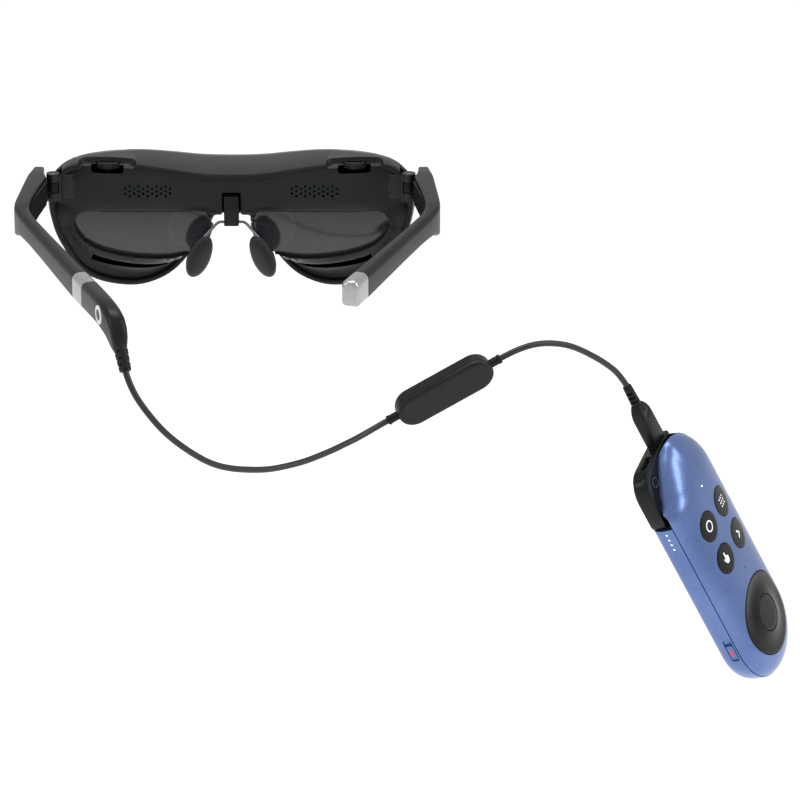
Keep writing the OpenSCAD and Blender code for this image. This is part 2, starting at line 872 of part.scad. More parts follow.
visor_shield();
front_frame();
rear_cover();
lens_left();
lens_right();
splitter_left();
splitter_right();
display_left();
display_right();
main_board();
hinge_lug_left();
hinge_lug_right();
hinge_pins();
bridge_block();
nose_wire();
frame_screws();
dial_pins();
dial_left();
dial_right();
nose_pad_left();
nose_pad_right();
pad_plate_left();
pad_plate_right();
temple_outer_left();
temple_outer_right();
temple_inner_left();
temple_inner_right();
speaker_left();
speaker_right();
tip_band_left();
tip_cap_right();
cable_boot();
boot_badge();
boot_relief();
boot_contacts();
cord_one();
inline_bottom();
inline_top();
inline_board();
inline_reliefs();
cord_two();
plug_relief();
plug_overmold();
plug_shell();
remote_front_shell();
remote_back_shell();
port_module();
usb_sockets();
remote_board();
battery();
led_pipes();
remote_screws();
port_key();
pad_ring();
pad_centre();
button_grid();
button_home();
button_back();
button_pointer();
side_switch();
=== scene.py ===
# Video glasses with a tethered hand control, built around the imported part.
# The wearer looks along +Y, +X is to the wearer's right, +Z is up; metres.
import bpy
import math
from mathutils import Matrix, Vector


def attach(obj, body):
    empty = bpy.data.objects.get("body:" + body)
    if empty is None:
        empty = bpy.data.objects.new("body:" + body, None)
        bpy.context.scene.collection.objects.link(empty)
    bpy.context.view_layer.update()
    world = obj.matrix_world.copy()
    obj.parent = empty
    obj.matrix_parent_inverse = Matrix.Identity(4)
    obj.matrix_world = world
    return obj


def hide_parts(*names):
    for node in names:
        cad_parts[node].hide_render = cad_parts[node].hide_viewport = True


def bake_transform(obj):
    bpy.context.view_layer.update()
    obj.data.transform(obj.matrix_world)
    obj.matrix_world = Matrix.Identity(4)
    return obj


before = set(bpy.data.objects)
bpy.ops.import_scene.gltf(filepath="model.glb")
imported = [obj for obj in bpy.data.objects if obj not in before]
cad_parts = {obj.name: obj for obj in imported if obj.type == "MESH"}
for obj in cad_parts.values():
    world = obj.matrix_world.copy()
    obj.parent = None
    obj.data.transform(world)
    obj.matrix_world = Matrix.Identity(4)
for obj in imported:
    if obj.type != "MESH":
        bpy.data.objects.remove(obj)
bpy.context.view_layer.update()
MM = 0.001

# ---------------------------------------------------------------- camera
# A long lens a little above the wearer's head height, behind the glasses,
# looking forward and 20 degrees down.
bpy.ops.object.select_all(action="DESELECT")
bpy.ops.object.camera_add(location=(0.0660, -1.8014, 0.6066), rotation=(math.radians(69.7), 0, 0))
camera = bpy.context.object
camera.name = "camera"
camera.data.lens = 218.9
camera.data.sensor_width = 36.0
camera.data.clip_end = 20
bpy.context.scene.camera = camera

# ---------------------------------------------------------------- cables
# Black jacketed data cable, 2.4 mm thick: one run hangs from the boot on the
# left temple to the inline box, the other goes from the box to the plug.
# Extruded soft TPE with a fine satin skin; it is moulded into its reliefs.


def linear(hex_colour):
    """sRGB hex to the linear colour a shader socket takes."""
    parts = [int(hex_colour[i:i + 2], 16) / 255 for i in (1, 3, 5)]
    return tuple(c / 12.92 if c <= 0.04045 else ((c + 0.055) / 1.055) ** 2.4 for c in parts) + (1.0,)


def wire(tree, node, **sockets):
    """Sets a node's sockets: each takes a number, a colour, or a node or output to link."""
    for key, value in sockets.items():
        by_number = key[0] == "n" and key[1:].isdigit()
        target = node.inputs[int(key[1:]) if by_number else key.replace("_", " ")]
        if isinstance(value, bpy.types.Node):
            value = value.outputs[0]
        if isinstance(value, bpy.types.NodeSocket):
            tree.links.new(value, target)
        else:
            target.default_value = value


def add(tree, kind, settings=None, stops=(), **sockets):
    """Adds one node with its settings, colour stops and links."""
    made = tree.nodes.new("ShaderNode" + kind)
    for key, value in (settings or {}).items():
        setattr(made, key, value)
    for number, (place, colour) in enumerate(stops):
        made.color_ramp.elements[number].color = linear(colour)
        made.color_ramp.elements[number].position = place
    wire(tree, made, **sockets)
    return made


def finish_of(name, **shader):
    """A new material with its Principled shader; returns material, tree and shader."""
    material = bpy.data.materials.new(name)
    material.use_nodes = True
    tree = material.node_tree
    surface = tree.nodes["Principled BSDF"]
    wire(tree, surface, **shader)
    return material, tree, surface


def moulded(name, base, light, rough, grain_mm, bump_um, wear=0.06, **shader):
    """Moulded polymer: fine grain in the skin, soft cloudy wear in gloss and tone."""
    shader.setdefault("Specular_IOR_Level", 0.16)
    material, tree, surface = finish_of(name, **shader)
    where = add(tree, "TexCoord").outputs["Object"]
    grain = add(tree, "TexNoise", Vector=where, Scale=1 / (grain_mm * MM), Detail=3.0, Roughness=0.6)
    cloud = add(tree, "TexNoise", Vector=where, Scale=1 / (14 * MM), Detail=4.0, Roughness=0.55)
    smear = add(tree, "TexNoise", Vector=where, Scale=1 / (3.5 * MM), Detail=2.0, Distortion=1.2)
    worn = add(tree, "Math", {"operation": "MULTIPLY"}, n0=cloud, n1=smear)
    wire(tree, surface,
         Base_Color=add(tree, "ValToRGB", stops=((0.35, base), (0.75, light)), n0=cloud),
         Roughness=add(tree, "MapRange", n0=worn, n3=rough - wear, n4=rough + wear),
         Normal=add(tree, "Bump", Height=grain, Strength=0.35, Distance=bump_um * 1e-6))
    return material


def paint(piece, *materials):
    """Gives a piece its materials, clearing what it has."""
    piece.data.materials.clear()
    for material in materials:
        piece.data.materials.append(material)
    return piece


# Jacket TPE is satin, so a thin bright line runs along its upper side.
jacket = moulded("Extruded TPE cable jacket", "#17181a", "#202124", 0.42, 0.35, 25, Specular_IOR_Level=0.4)

cord_one_mm = [(-32.5, -158.5, 9.3), (-30.5, -161.5, 3.5), (-26.5, -162, -2.5), (-22.5, -161, -8.5),
               (-18.5, -159, -14), (-14, -156.5, -19), (-9.5, -153.5, -23.5), (-4.5, -150.5, -28),
               (0.5, -146.5, -31.5), (5.5, -142.5, -34), (10.5, -138, -36), (16, -133, -38),
               (21, -128.5, -39), (26.5, -123.5, -39.5), (31.5, -118.5, -40), (36, -113, -40),
               (41, -107.5, -40), (45.5, -102, -39.5), (50.5, -97, -39), (55.5, -92, -37.5),
               (61.1, -89.3, -35.2)]
cord_two_mm = [(104.1, -81, -12.9), (108, -80, -11), (112.5, -78.5, -9.5), (117, -76.5, -9),
               (121, -74, -9.5), (125, -71.5, -10.5), (129, -69, -12), (132.5, -66.5, -14),
               (136, -64, -16.5), (139, -61.5, -19), (142, -59, -21.5), (145, -56.5, -24.5),
               (148, -54, -27.5), (150.5, -52, -31), (152.8, -51.1, -34.9)]
CABLE_D = 2.4 * MM


def cable_along(name, route_mm):
    """A round tube on one smooth spline through the route's points."""
    points = [Vector(p) * MM for p in route_mm]
    data = bpy.data.curves.new(name, "CURVE")
    data.dimensions = "3D"
    data.bevel_depth = CABLE_D / 2
    data.bevel_resolution = 5
    data.resolution_u = 10
    data.use_fill_caps = True
    seated = [points[0] + (points[0] - points[1]).normalized() * 0.9 * MM] + points
    seated.append(points[-1] + (points[-1] - points[-2]).normalized() * 0.9 * MM)
    spline = data.splines.new("NURBS")
    spline.points.add(len(seated) - 1)
    for knot, place in zip(spline.points, seated):
        knot.co = (*place, 1.0)
    spline.order_u = 5
    spline.use_endpoint_u = True
    tube = bpy.data.objects.new(name, data)
    bpy.context.scene.collection.objects.link(tube)
    bpy.ops.object.select_all(action="DESELECT")
    tube.select_set(True)
    bpy.context.view_layer.objects.active = tube
    bpy.ops.object.convert(target="MESH")
    tube = bpy.context.object
    bpy.ops.object.mode_set(mode="EDIT")
    bpy.ops.mesh.select_all(action="SELECT")
    bpy.ops.mesh.remove_doubles(threshold=0.00001)
    bpy.ops.mesh.normals_make_consistent(inside=False)
    bpy.ops.object.mode_set(mode="OBJECT")
    bpy.ops.object.shade_smooth()
    paint(tube, jacket)
    length = sum((b - a).length for a, b in zip(points, points[1:]))
    return tube, points, length


first_run, first_path, first_length = cable_along("cable_temple_to_box", cord_one_mm)
second_run, second_path, second_length = cable_along("cable_box_to_plug", cord_two_mm)
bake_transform(first_run)
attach(second_run, "front")
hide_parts("cord_one")
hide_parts("cord_two")

# ---------------------------------------------------------------- floor and light
# Plain pale studio paper, wide enough to fill every view and well below the hand
# control, under an even white sky and three soft boxes.
bpy.ops.object.select_all(action="DESELECT")
bpy.ops.mesh.primitive_plane_add(size=16, location=(0, 0, -0.30))
floor = bpy.context.object
floor.name = "floor"
# Matte paper with a faint mottle, so that the floor stays plain and pale.
pale, pale_tree, pale_surface = finish_of("Pale studio paper", Roughness=0.9, Emission_Strength=0.2)
pale_surface.inputs["Emission Color"].default_value = linear("#ffffff")
paper = add(pale_tree, "TexNoise", Vector=add(pale_tree, "TexCoord").outputs["Object"], Scale=30.0)
wire(pale_tree, pale_surface,
     Base_Color=add(pale_tree, "ValToRGB", stops=((0.0, "#f4f4f4"), (1.0, "#f7f7f7")), n0=paper))
paint(floor, pale)

world = bpy.data.worlds.new("studio")
bpy.context.scene.world = world
world.use_nodes = True
world.node_tree.nodes["Background"].inputs["Color"].default_value = linear("#ffffff")
world.node_tree.nodes["Background"].inputs["Strength"].default_value = 0.8


def soft_box(name, place, aim, size, watts):
    bpy.ops.object.light_add(type="AREA", location=place)
    lamp = bpy.context.object
    lamp.name = name
    lamp.data.shape = "RECTANGLE"
    lamp.data.size, lamp.data.size_y = size
    lamp.data.energy = watts
    lamp.rotation_euler = (Vector(aim) - Vector(place)).to_track_quat("-Z", "Y").to_euler()
    return lamp


soft_box("top_box", (0.0, 0.1, 1.1), (0.05, -0.05, 0), (0.9, 0.35), 7)
soft_box("left_box", (-1.0, -0.45, 0.5), (0, 0, 0), (0.3, 0.8), 2.6)
soft_box("right_box", (1.0, -0.25, 0.55), (0.15, -0.05, -0.08), (0.25, 0.8), 4)
bpy.context.scene.view_settings.view_transform = "Standard"

# ---------------------------------------------------------------- front shield
# One wraparound shield, injection moulded in gloss black polycarbonate 1.8 mm
# thick, with a rolled edge; it clips over the rim.
SHIELD_T = 1.8
HALF_FRONT = [(0, 30.5), (12, 31), (24, 32.8), (36, 34.6), (48, 35.4), (58, 35.2), (65, 33.2),
              (70, 28), (71.4, 18.5), (69.5, 8), (66, 0), (61, -9), (54, -15), (45, -18.6),
              (36, -19.6), (27, -17), (20, -11.5), (14, -3), (10, 3.5), (6, 9.5), (3, 12.4), (0, 13.5)]


def both_sides(half):
    """A half outline and its mirror image, as one ring."""
    return half + [(-x, z) for x, z in half[-2:0:-1]]


def rounded_ring(points, steps):
    """A closed ring drawn smoothly through the points."""
    n, ring = len(points), []
    for i in range(n):
        a, b, c, d = (Vector(points[(i + j) % n]) for j in (-1, 0, 1, 2))
        for k in range(steps):
            t = k / steps
            ring.append(0.5 * (2 * b + (c - a) * t + (2 * a - 5 * b + 4 * c - d) * t * t
                               + (3 * b - a - 3 * c + d) * t * t * t))
    return ring


def pulled_in(ring, inset):
    """The same ring moved inwards by an inset at each point."""
    n, moved = len(ring), []
    for i, point in enumerate(ring):
        along = (ring[(i + 1) % n] - ring[i - 1]).normalized()
        moved.append(point + inset * Vector((along.y, -along.x)))
    return moved


def only(piece):
    """Leaves this piece alone selected and active."""
    bpy.ops.object.select_all(action="DESELECT")
    piece.select_set(True)
    bpy.context.view_layer.objects.active = piece
    return piece


def editing(piece):
    """Opens a piece in edit mode with nothing selected."""
    only(piece)
    bpy.ops.object.mode_set(mode="EDIT")
    bpy.ops.mesh.select_mode(type="EDGE")
    bpy.ops.mesh.select_all(action="DESELECT")


def close_up(piece, angle=32):
    """Back to object mode: doubles merged, faces outwards, smooth but for sharp edges."""
    only(piece)
    bpy.ops.object.mode_set(mode="EDIT")
    bpy.ops.mesh.select_all(action="SELECT")
    bpy.ops.mesh.remove_doubles(threshold=0.00001)
    bpy.ops.mesh.normals_make_consistent(inside=False)
    bpy.ops.object.mode_set(mode="OBJECT")
    bpy.ops.object.shade_smooth_by_angle(angle=math.radians(angle))
    return piece


def modify(piece, kind, **settings):
    """Adds a modifier and applies it."""
    only(piece)
    modifier = piece.modifiers.new(kind.lower(), kind)
    for key, value in settings.items():
        setattr(modifier, key, value)
    bpy.ops.object.modifier_apply(modifier=modifier.name)
    return piece


def soften(piece, width_mm, segments=3, angle=35):
    """Rounds a piece's sharp edges."""
    return modify(piece, "BEVEL", width=width_mm * MM, segments=segments, limit_method="ANGLE",
                  angle_limit=math.radians(angle))


def carve(piece, tool):
    """Cuts a tool out of a piece and removes the tool."""
    modify(piece, "BOOLEAN", object=tool, operation="DIFFERENCE", solver="EXACT")
    bpy.data.objects.remove(tool)
    return piece


def loft(name, loops, around=False):
    """Extrudes a ring of edges from loop to loop; around joins the last loop to the first."""
    bpy.ops.object.select_all(action="DESELECT")
    bpy.ops.mesh.primitive_circle_add(vertices=len(loops[0]), radius=0.01)
    piece = bpy.context.object
    piece.name = piece.data.name = name
    mesh = piece.data
    for vertex, place in zip(mesh.vertices, loops[0]):
        vertex.co = Vector(place) * MM
    count = len(loops[0])
    editing(piece)
    bpy.ops.mesh.select_all(action="SELECT")
    if not around:
        bpy.ops.mesh.edge_face_add()
        bpy.ops.mesh.select_all(action="SELECT")
    for step, loop in enumerate(loops[1:], 1):
        bpy.ops.mesh.extrude_edges_move()
        bpy.ops.object.mode_set(mode="OBJECT")
        source = {}
        for edge in mesh.edges:
            a, b = edge.vertices
            low, high = min(a, b), max(a, b)
            if (step - 1) * count <= low < step * count <= high:
                source[high] = ring_order[low] if step > 1 else low
        ring_order = source
        for index, k in source.items():
            mesh.vertices[index].co = Vector(loop[k]) * MM
        bpy.ops.object.mode_set(mode="EDIT")
    if around:
        bpy.ops.object.mode_set(mode="OBJECT")
        for edge in mesh.edges:
            a, b = edge.vertices
            last = count * (len(loops) - 1)
            edge.select = max(a, b) < count or min(a, b) >= last
        bpy.ops.object.mode_set(mode="EDIT")
        bpy.ops.mesh.bridge_edge_loops()
    else:
        bpy.ops.mesh.edge_face_add()
    bpy.ops.object.mode_set(mode="OBJECT")
    return close_up(piece)


def block(name, low, high, turn=None):
    """A box between two corners, in millimetres, to shape or to cut with."""
    bpy.ops.object.select_all(action="DESELECT")
    bpy.ops.mesh.primitive_cube_add(size=1)
    piece = bpy.context.object
    piece.name = piece.data.name = name
    size = [(b - a) * MM for a, b in zip(low, high)]
    middle = [(b + a) / 2 * MM for a, b in zip(low, high)]
    for vertex in piece.data.vertices:
        vertex.co = Vector([c * s + m for c, s, m in zip(vertex.co, size, middle)])
    if turn is not None:
        piece.data.transform(turn)
    return piece


def rod(name, start, end, radius, sides=32):
    """A bar between two points, in millimetres."""
    a, b = Vector(start) * MM, Vector(end) * MM
    bpy.ops.object.select_all(action="DESELECT")
    bpy.ops.mesh.primitive_cone_add(vertices=sides, radius1=radius * MM, radius2=radius * MM,
                                    depth=(b - a).length)
    piece = bpy.context.object
    piece.name = piece.data.name = name
    turn = (b - a).to_track_quat("Z", "Y").to_matrix().to_4x4()
    piece.data.transform(Matrix.Translation((a + b) / 2) @ turn)
    return piece


def copy_across(piece, name):
    """The same piece for the other side, mirrored in X, with its own mesh."""
    twin = piece.copy()
    twin.data = piece.data.copy()
    twin.name = twin.data.name = name
    bpy.context.scene.collection.objects.link(twin)
    twin.data.transform(Matrix.Scale(-1, 4, (1, 0, 0)))
    twin.data.flip_normals()
    return twin


def to_left(piece, angle=32):
    """Moves a piece made on the right arm to the left one."""
    piece.data.transform(Matrix.Scale(-1, 4, (1, 0, 0)))
    return close_up(piece, angle)


def settle_pair(piece, left_name, material, bodies, slot, node):
    """Paints a piece, mirrors it to the left and settles both."""
    paint(piece, material)
    twin = copy_across(piece, left_name)
    settle(piece, None, bodies[0], slot, node + "_right")
    settle(twin, None, bodies[1], slot, node + "_left")


def joined(pieces, name):
    """Several meshes made one piece."""
    only(pieces[0])
    for piece in pieces[1:]:
        piece.select_set(True)
    bpy.ops.object.join()
    pieces[0].name = pieces[0].data.name = name
    return pieces[0]


def settle(piece, material, body, slot, *nodes):
    """Paints a finished piece and rides it on its body in place of CAD nodes."""
    if material:
        paint(piece, material)
    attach(piece, body)
    if nodes:
        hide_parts(*nodes)
    return piece


front_ring = rounded_ring(both_sides(HALF_FRONT), 4)


def shield_y(x):
    return 36 - 0.0045 * x * x


def hinge_room(piece):
    """Clears the space that a hinge and a folding temple need, on both sides."""
    for side in (-1, 1):
        xs = sorted((side * 66.0, side * 78.0))
        carve(piece, block("room", (xs[0], -2, 19.6), (xs[1], 14.2, 32.6)))


# Polished polycarbonate gives the eye a near-black sheet with long clear reflections.
gloss_shield = moulded("Gloss moulded polycarbonate, smoke black", "#08090a", "#0c0d0f", 0.09, 1.2, 2.0, 0.03,
                       Coat_Weight=0.6, Coat_Roughness=0.04, IOR=1.58)


def sheet(name, rings, pitch, depth):
    """A thin wall filled between upright rings, cut into a fine grid and pressed to a depth."""
    parts = []
    for ring in rings:
        bpy.ops.object.select_all(action="DESELECT")
        bpy.ops.mesh.primitive_circle_add(vertices=len(ring), radius=0.01)
        parts.append(bpy.context.object)
        for vertex, place in zip(parts[-1].data.vertices, ring):
            vertex.co = (place.x * MM, 0, place.y * MM)
    piece = joined(parts, name)
    editing(piece)
    bpy.ops.mesh.select_all(action="SELECT")
    bpy.ops.mesh.fill(use_beauty=True)
    for axis, span in ((0, 72), (2, 40)):
        line = -span
        while line <= span:
            bpy.ops.mesh.select_all(action="SELECT")
            at, across = [0, 0, 0], [0, 0, 0]
            at[axis], across[axis] = (line + 0.013) * MM, 1
            bpy.ops.mesh.bisect(plane_co=at, plane_no=across)
            line += pitch
    bpy.ops.mesh.select_all(action="SELECT")
    bpy.ops.mesh.remove_doubles(threshold=0.0002)
    bpy.ops.object.mode_set(mode="OBJECT")
    for vertex in piece.data.vertices:
        vertex.co.y = depth(vertex.co.x / MM, vertex.co.z / MM) * MM
    bpy.ops.object.shade_smooth()
    return piece


front_shield = sheet("front_shield", [front_ring], 3.0, lambda x, z: shield_y(x) - SHIELD_T / 2)
modify(front_shield, "SOLIDIFY", thickness=SHIELD_T * MM, offset=0.0, use_even_offset=False)
close_up(front_shield)
hinge_room(front_shield)
soften(front_shield, 0.5, 4, 50)
close_up(front_shield)
settle(front_shield, gloss_shield, "front", "shield", "visor_shield")

# ---------------------------------------------------------------- rim
# Deep moulded ABS rim behind the shield, satin black, with a rounded rear lip;
# each brow corner is scooped out round its dial.
# Satin ABS shows as an even black with a broad dull sheen.
satin_abs = moulded("Moulded ABS, satin black", "#0e0f10", "#151618", 0.33, 0.5, 9, 0.05, IOR=1.54)


def smooth_step(low, high, value):
    t = min(1.0, max(0.0, (value - low) / (high - low)))
    return t * t * (3 - 2 * t)


def rim_rear(x, z):
    """Where the rim's rear lip stands: level on the brow, following the shield below."""
    below = max(9.0, shield_y(x) - 7.0)
    return 9.0 + (below - 9.0) * (1 - smooth_step(8, 15, z))


rim_loops = []
for inset, station in ((0.0, "shield"), (0.0, 1.4), (0.2, 0.6), (0.7, 0.12), (1.3, 0.0), (1.9, 0.12),
                       (2.3, 0.5), (2.45, 1.3), (2.45, "shield")):
    loop = []
    for outer, p in zip(front_ring, pulled_in(front_ring, inset)):
        if station == "shield":
            y = shield_y(outer.x) - SHIELD_T - 0.03
        else:
            y = rim_rear(outer.x, outer.y) + station
        loop.append((p.x, y, p.y))
    rim_loops.append(loop)
rim = loft("rim", rim_loops, around=True)
hinge_room(rim)
DIAL_X, DIAL_Y = 48.2, 18.4
for side in (-1, 1):
    scoop = block("scoop", (side * DIAL_X - 9.5, 6, 31.9), (side * DIAL_X + 9.5, 15.2, 40))
    for vertex in scoop.data.vertices:
        if vertex.co.z > 0.036:
            vertex.co.x += math.copysign(5 * MM, vertex.co.x - side * DIAL_X * MM)
            vertex.co.y += 4 * MM if vertex.co.y > 0.010 else 0
    soften(scoop, 2.4, 5)
    carve(rim, scoop)
    carve(rim, rod("well", (side * DIAL_X, DIAL_Y, 30.4), (side * DIAL_X, DIAL_Y, 33.9), 5.4, 64))
close_up(rim)
settle(rim, satin_abs, "front", "frame", "front_frame")

# ---------------------------------------------------------------- rear cover
# Face-side cover: one moulded shell from the brow down round both lenses, with
# a hollow for the brow, side wings, a rolled lens lip and a slot under each eye.
# Spark-eroded grain of about 0.45 mm breaks up the light, so the cover looks greyer.
grained_abs = moulded("Moulded ABS, fine spark-eroded grain", "#111214", "#191a1c", 0.40, 0.45, 16, 0.05,
                      IOR=1.54, Specular_IOR_Level=0.18)
LENS = [(12.5, 15.5), (30, 15.5), (50, 15.5), (58.5, 15), (62.2, 10.5), (60.5, 5), (55, 0), (46, -3.2),
        (35, -4.8), (24, -4.6), (15.5, -2), (10, 3), (8.3, 9), (9.3, 13.8)]
lens_ring = rounded_ring(LENS, 5)
left_lens_ring = [Vector((-p.x, p.y)) for p in lens_ring]
cover_ring = pulled_in(front_ring, 2.3)


def nearest(x, z, ring):
    """Distance from a point to a ring."""
    here = Vector((x, z))
    best = 1e9
    for a, b in zip(ring, ring[1:] + ring[:1]):
        along = b - a
        t = min(1.0, max(0.0, (here - a).dot(along) / max(along.length_squared, 1e-9)))
        best = min(best, (here - a - along * t).length)
    return best


def cover_depth(x, z):
    side = abs(x)
    band = 9.4 + 2.4 * math.exp(-(side / 15) ** 2) + 4.2 * smooth_step(44, 70, side)
    if z > 19:
        return band
    to_lens, to_edge = nearest(side, z, lens_ring), nearest(x, z, cover_ring)
    share = smooth_step(0.0, 1.0, to_lens / max(to_lens + to_edge, 1e-6))
    lip = 12.0 + 0.9 * smooth_step(0.0, 2.2, to_lens)
    low = lip + (rim_rear(x, z) + 2.2 - lip) * share
    return low + (band - low) * smooth_step(13.5, 17.5, z)


rear_cover = sheet("rear_cover", [cover_ring, pulled_in(lens_ring, -0.15), pulled_in(left_lens_ring, 0.15)],
                   1.6, cover_depth)
mesh = rear_cover.data
editing(rear_cover)
bpy.ops.mesh.select_non_manifold(extend=False, use_boundary=True, use_wire=False, use_multi_face=False,
                                 use_non_contiguous=False, use_verts=False)
bpy.ops.mesh.extrude_edges_move()
bpy.ops.object.mode_set(mode="OBJECT")
for vertex in mesh.vertices:
    if vertex.select:
        x, z = vertex.co.x / MM, vertex.co.z / MM
        in_lens = nearest(abs(x), z, lens_ring) < 1.0
        vertex.co.y = (14.3 if in_lens else vertex.co.y / MM + 2.2) * MM
modify(rear_cover, "SOLIDIFY", thickness=0.9 * MM, offset=-1.0, use_even_offset=False)
close_up(rear_cover, 50)

vents = []
for side in (-1, 1):
    for column in range(11):
        rows = 2 if column % 2 == 0 else 3
        for row in range(rows):
            x, z = side * (23.8 + column * 1.75), 24 + (row - (rows - 1) / 2) * 2
            vents.append(rod("vent", (x, 5, z), (x, 18, z), 0.55, 14))
carve(rear_cover, joined(vents, "vents"))
for side in (-1, 1):
    notch = soften(block("notch", (side * DIAL_X - 6.4, 4, 30.9), (side * DIAL_X + 6.4, 15.6, 40)), 1.2, 4)
    carve(rear_cover, notch)
hinge_room(rear_cover)
lens_slots = []
for side in (-1, 1):
    near, far = [], []
    for a, b in zip(pulled_in(lens_ring, -2.8), pulled_in(lens_ring, -5.6)):
        if a.y < -1.0 and 25 < a.x < 56:
            near.append((side * a.x, a.y))
            far.append((side * b.x, b.y))
    outline = near + far[::-1]
    lens_slots.append(loft("lens_slot", [[(x, y, z) for x, z in outline] for y in (6, 26)]))
carve(rear_cover, joined(lens_slots, "lens_slots"))
carve(rear_cover, block("slot", (-3.7, 0, 4), (3.7, 22, 22.6)))
close_up(rear_cover, 50)
settle(rear_cover, grained_abs, "front", "cover", "rear_cover")

# ---------------------------------------------------------------- lens panels
# D-shaped tinted panels set into the cover: polished acrylic, smoke black; the eyepiece behind each on the nose side
# is drawn into the panel's colour as a slightly lighter disc, with a painted glint round its edge.
# Smoke acrylic as a dark, slightly greyer panel, with painted light that makes it lighter towards the bottom.
EYEPIECE_X, EYEPIECE_Z = 0.0165, 0.0075
smoke, tree, surface = finish_of("Polished acrylic, smoke tint, painted glint and light", Roughness=0.12, IOR=1.49,
                                 Coat_Weight=0.3, Coat_Roughness=0.05)
apart = add(tree, "SeparateXYZ", Vector=add(tree, "TexCoord").outputs["Object"])
# Painted light: the panel's colour grows lighter towards the bottom.
rise = add(tree, "MapRange", n0=apart.outputs["Z"], n1=-0.006, n2=0.015, n3=1.0, n4=0.0)
side = add(tree, "Math", {"operation": "ABSOLUTE"}, n0=apart.outputs["X"])
centred = add(tree, "CombineXYZ", Y=0.0,
              X=add(tree, "Math", {"operation": "SUBTRACT"}, n0=side, n1=EYEPIECE_X),
              Z=add(tree, "Math", {"operation": "SUBTRACT"}, n0=apart.outputs["Z"], n1=EYEPIECE_Z))
reach = add(tree, "VectorMath", {"operation": "LENGTH"}, n0=centred).outputs["Value"]
# The eyepiece behind as a slightly lighter disc, with a painted glint ring on its edge.
disc = add(tree, "MapRange", n0=reach, n1=0.0082, n2=0.0085, n3=1.0, n4=0.0)
rings = add(tree, "MapRange", {"interpolation_type": "SMOOTHERSTEP"}, n0=reach, n1=0.0076, n2=0.0084,
            n3=0.0, n4=1.0)
edge = add(tree, "Math", {"operation": "MULTIPLY"}, n0=disc, n1=rings)
tone = add(tree, "Math", {"operation": "MULTIPLY"}, n0=rise, n1=0.7)
lens_painted_glint_and_light = add(tree, "Math", {"operation": "MULTIPLY_ADD"}, n0=edge, n1=0.55, n2=tone)
# Painted glint and painted light, added to the lighter eyepiece disc, give the panel's colour.
lens_painted_light_and_disc = add(tree, "Math", {"operation": "MULTIPLY_ADD"}, n0=disc, n1=0.18, n2=lens_painted_glint_and_light)
wire(tree, surface, Base_Color=add(tree, "ValToRGB", stops=((0.0, "#141518"), (1.4 / 1.5, "#3a3b3e")), n0=lens_painted_light_and_disc))
lens_loops = []
for inset, y in ((0.0, 15.4), (0.0, 14.2), (0.15, 14.05), (0.5, 14.0)):
    lens_loops.append([(p.x, y, p.y) for p in pulled_in(lens_ring, inset)])
lens_right = loft("lens_right", lens_loops)
settle_pair(lens_right, "lens_left", smoke, ("front", "front"), "lens", "lens")

# ---------------------------------------------------------------- bridge and nose wire
# A small glass-filled nylon block in the cover's slot grips a bent spring-steel
# wire, plated dark; the wire carries both nose pads.
bridge = soften(block("bridge_block", (-2.9, 8.5, 9.5), (2.9, 16, 21.6)), 0.5, 4)
bridge_face = soften(block("bridge_face", (-2.1, 8.2, 10.4), (2.1, 9.5, 20.6)), 0.3, 3)
bridge = joined([bridge, bridge_face], "bridge_block")
close_up(bridge)
settle(bridge, satin_abs, "front", "frame", "bridge_block")



def worked_metal(name, dark, light, low, high, grain_mm, detail, metallic=1.0):
    """Metal whose tone and gloss vary with its working marks."""
    material, tree, surface = finish_of(name, Metallic=metallic)
    marks = add(tree, "TexNoise", Vector=add(tree, "TexCoord").outputs["Object"],
                Scale=1 / (grain_mm * MM), Detail=detail)
    wire(tree, surface, Base_Color=add(tree, "ValToRGB", stops=((0.0, dark), (1.0, light)), n0=marks),
         Roughness=add(tree, "MapRange", n0=marks, n3=low, n4=high))
    return material


# Dark nickel plate: a thin wire that still catches a grey line of light.
plated_steel = worked_metal("Spring steel wire, dark nickel plate", "#55575a", "#7b7d80", 0.2, 0.36, 0.6, 2.0)

LEAN, TURN = math.radians(21.7), math.radians(38)
pad_frame = (Matrix.Translation((12.2 * MM, 0, 0)) @ Matrix.Rotation(-LEAN, 4, "Y")
             @ Matrix.Rotation(-TURN, 4, "Z"))


def placed(own_frame, x, y, z):
    """A point of a piece's own frame, in millimetres, as a point of the whole."""
    return tuple(own_frame @ (Vector((x, y, z)) * MM) / MM)


def on_pad(x, y, z):
    return placed(pad_frame, x, y, z)


wire_path = [(-0.2, 11, 10.6), (3.4, 11, 10.6), (4.9, 10.8, 10.5), (7.6, 8.6, 8.6), (11, 5.6, 5.8),
             (13.2, 3.7, 4.2), on_pad(0, 4.2, 2.6), on_pad(0, 4.2, 0), on_pad(0, 4.2, -1.6)]
halves = []
for side in (1, -1):
    data = bpy.data.curves.new("nose_wire", "CURVE")
    data.dimensions = "3D"
    data.bevel_depth = 0.58 * MM
    data.bevel_resolution = 4
    data.resolution_u = 8
    data.use_fill_caps = True
    spline = data.splines.new("BEZIER")
    spline.bezier_points.add(len(wire_path) - 1)
    for knot, (x, y, z) in zip(spline.bezier_points, wire_path):
        knot.co = Vector((side * x, y, z)) * MM
        knot.handle_left_type = knot.handle_right_type = "AUTO"
    half = bpy.data.objects.new("nose_wire", data)
    bpy.context.scene.collection.objects.link(half)
    only(half)
    bpy.ops.object.convert(target="MESH")
    halves.append(bpy.context.object)
nose_wire = joined(halves, "nose_wire")
close_up(nose_wire, 60)
settle(nose_wire, plated_steel, "front", "wire", "nose_wire")

